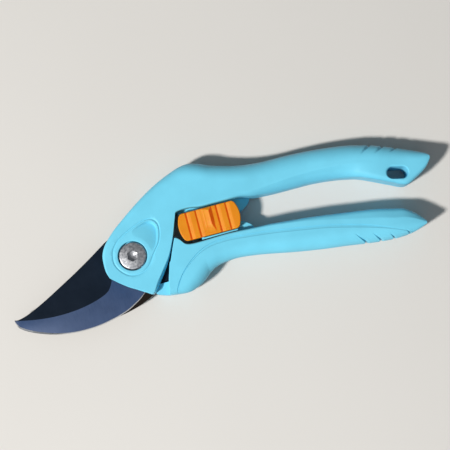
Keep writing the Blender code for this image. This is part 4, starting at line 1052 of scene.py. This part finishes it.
# ---------------------------------------------------------------- carried-over pieces
for name, mat in (("hook_pin_1", mat_bolt), ("hook_pin_2", mat_bolt), ("blade_pin_1", mat_bolt), ("blade_pin_2", mat_bolt),
                  ("nut_washer", mat_bolt), ("head_washer", mat_bolt), ("pivot_sleeve", mat_bronze),
                  ("friction_disc", mat_poly), ("lock_retainer", mat_bolt), ("lock_screw", mat_bolt),
                  ("lock_detent_leaf", mat_spring)):
    node = nodes[name]
    node.data.materials.clear()
    node.data.materials.append(mat)

# ---------------------------------------------------------------- floor, light, camera
bpy.ops.mesh.primitive_grid_add(x_subdivisions=8, y_subdivisions=8, size=6.0, location=(0, 0, -0.00002))
floor = bpy.context.active_object
floor.name = floor.data.name = "studio_floor"
n = Nodes("floor_paint")
cloud = n.noise(3.0, 3.0)
fine = n.noise(700.0, 2.0)
floor.data.materials.append(n.set(
    Base_Color=n.ramp(cloud, [(0.3, (0.64, 0.625, 0.60)), (0.7, (0.67, 0.655, 0.63))]), Roughness=0.75,
    Normal=n.bump(fine, 0.04, 0.0002), Specular_IOR_Level=0.2))

world = bpy.data.worlds.new("studio")
scene.world = world
world.use_nodes = True
world.node_tree.nodes["Background"].inputs["Color"].default_value = (0.86, 0.93, 1.0, 1.0)
world.node_tree.nodes["Background"].inputs["Strength"].default_value = 0.17


def area_light(name, azimuth, elevation, distance, size, power, colour=(1, 1, 1)):
    """azimuth in the model frame: 0 is +X, 90 is +Y."""
    light = bpy.data.lights.new(name, "AREA")
    light.shape = "DISK"
    light.size = size
    light.energy = power
    light.color = colour
    obj = bpy.data.objects.new(name, light)
    scene.collection.objects.link(obj)
    a, e = math.radians(azimuth), math.radians(elevation)
    d = Vector((math.cos(a) * math.cos(e), math.sin(a) * math.cos(e), math.sin(e)))
    obj.location = d * distance
    obj.rotation_mode = "QUATERNION"
    obj.rotation_quaternion = d.to_track_quat("Z", "Y")
    return obj


area_light("key", 196.0, 48.5, 2.2, 0.24, 59.5, (1.0, 0.975, 0.94))
area_light("fill", 250.0, 70.0, 2.0, 1.6, 2.0, (0.95, 0.98, 1.0))

cam_data = bpy.data.cameras.new("camera")
cam = bpy.data.objects.new("camera", cam_data)
scene.collection.objects.link(cam)
TURN = math.radians(-18.0)
el, dist = math.radians(85.0), 0.600
back = Vector((math.sin(TURN) * math.cos(el), -math.cos(TURN) * math.cos(el), math.sin(el)))
right = Vector((math.cos(TURN), math.sin(TURN), 0.0))
target = Vector((0.0028, -0.0013, 0.008))
cam.location = target + back * dist
up = back.cross(right)
from mathutils import Matrix
rot = Matrix((right, up, back)).transposed()
cam.rotation_mode = "QUATERNION"
cam.rotation_quaternion = rot.to_quaternion()
cam_data.sensor_width = 36.0
cam_data.lens = 36.0 * 1334.0 / 450.0
cam_data.clip_start, cam_data.clip_end = 0.01, 20.0
cam_data.dof.use_dof = False
scene.camera = cam

scene.view_settings.view_transform = "Standard"
scene.view_settings.look = "None"
scene.view_settings.exposure = 0.0
scene.view_settings.gamma = 1.0

bpy.context.view_layer.update()
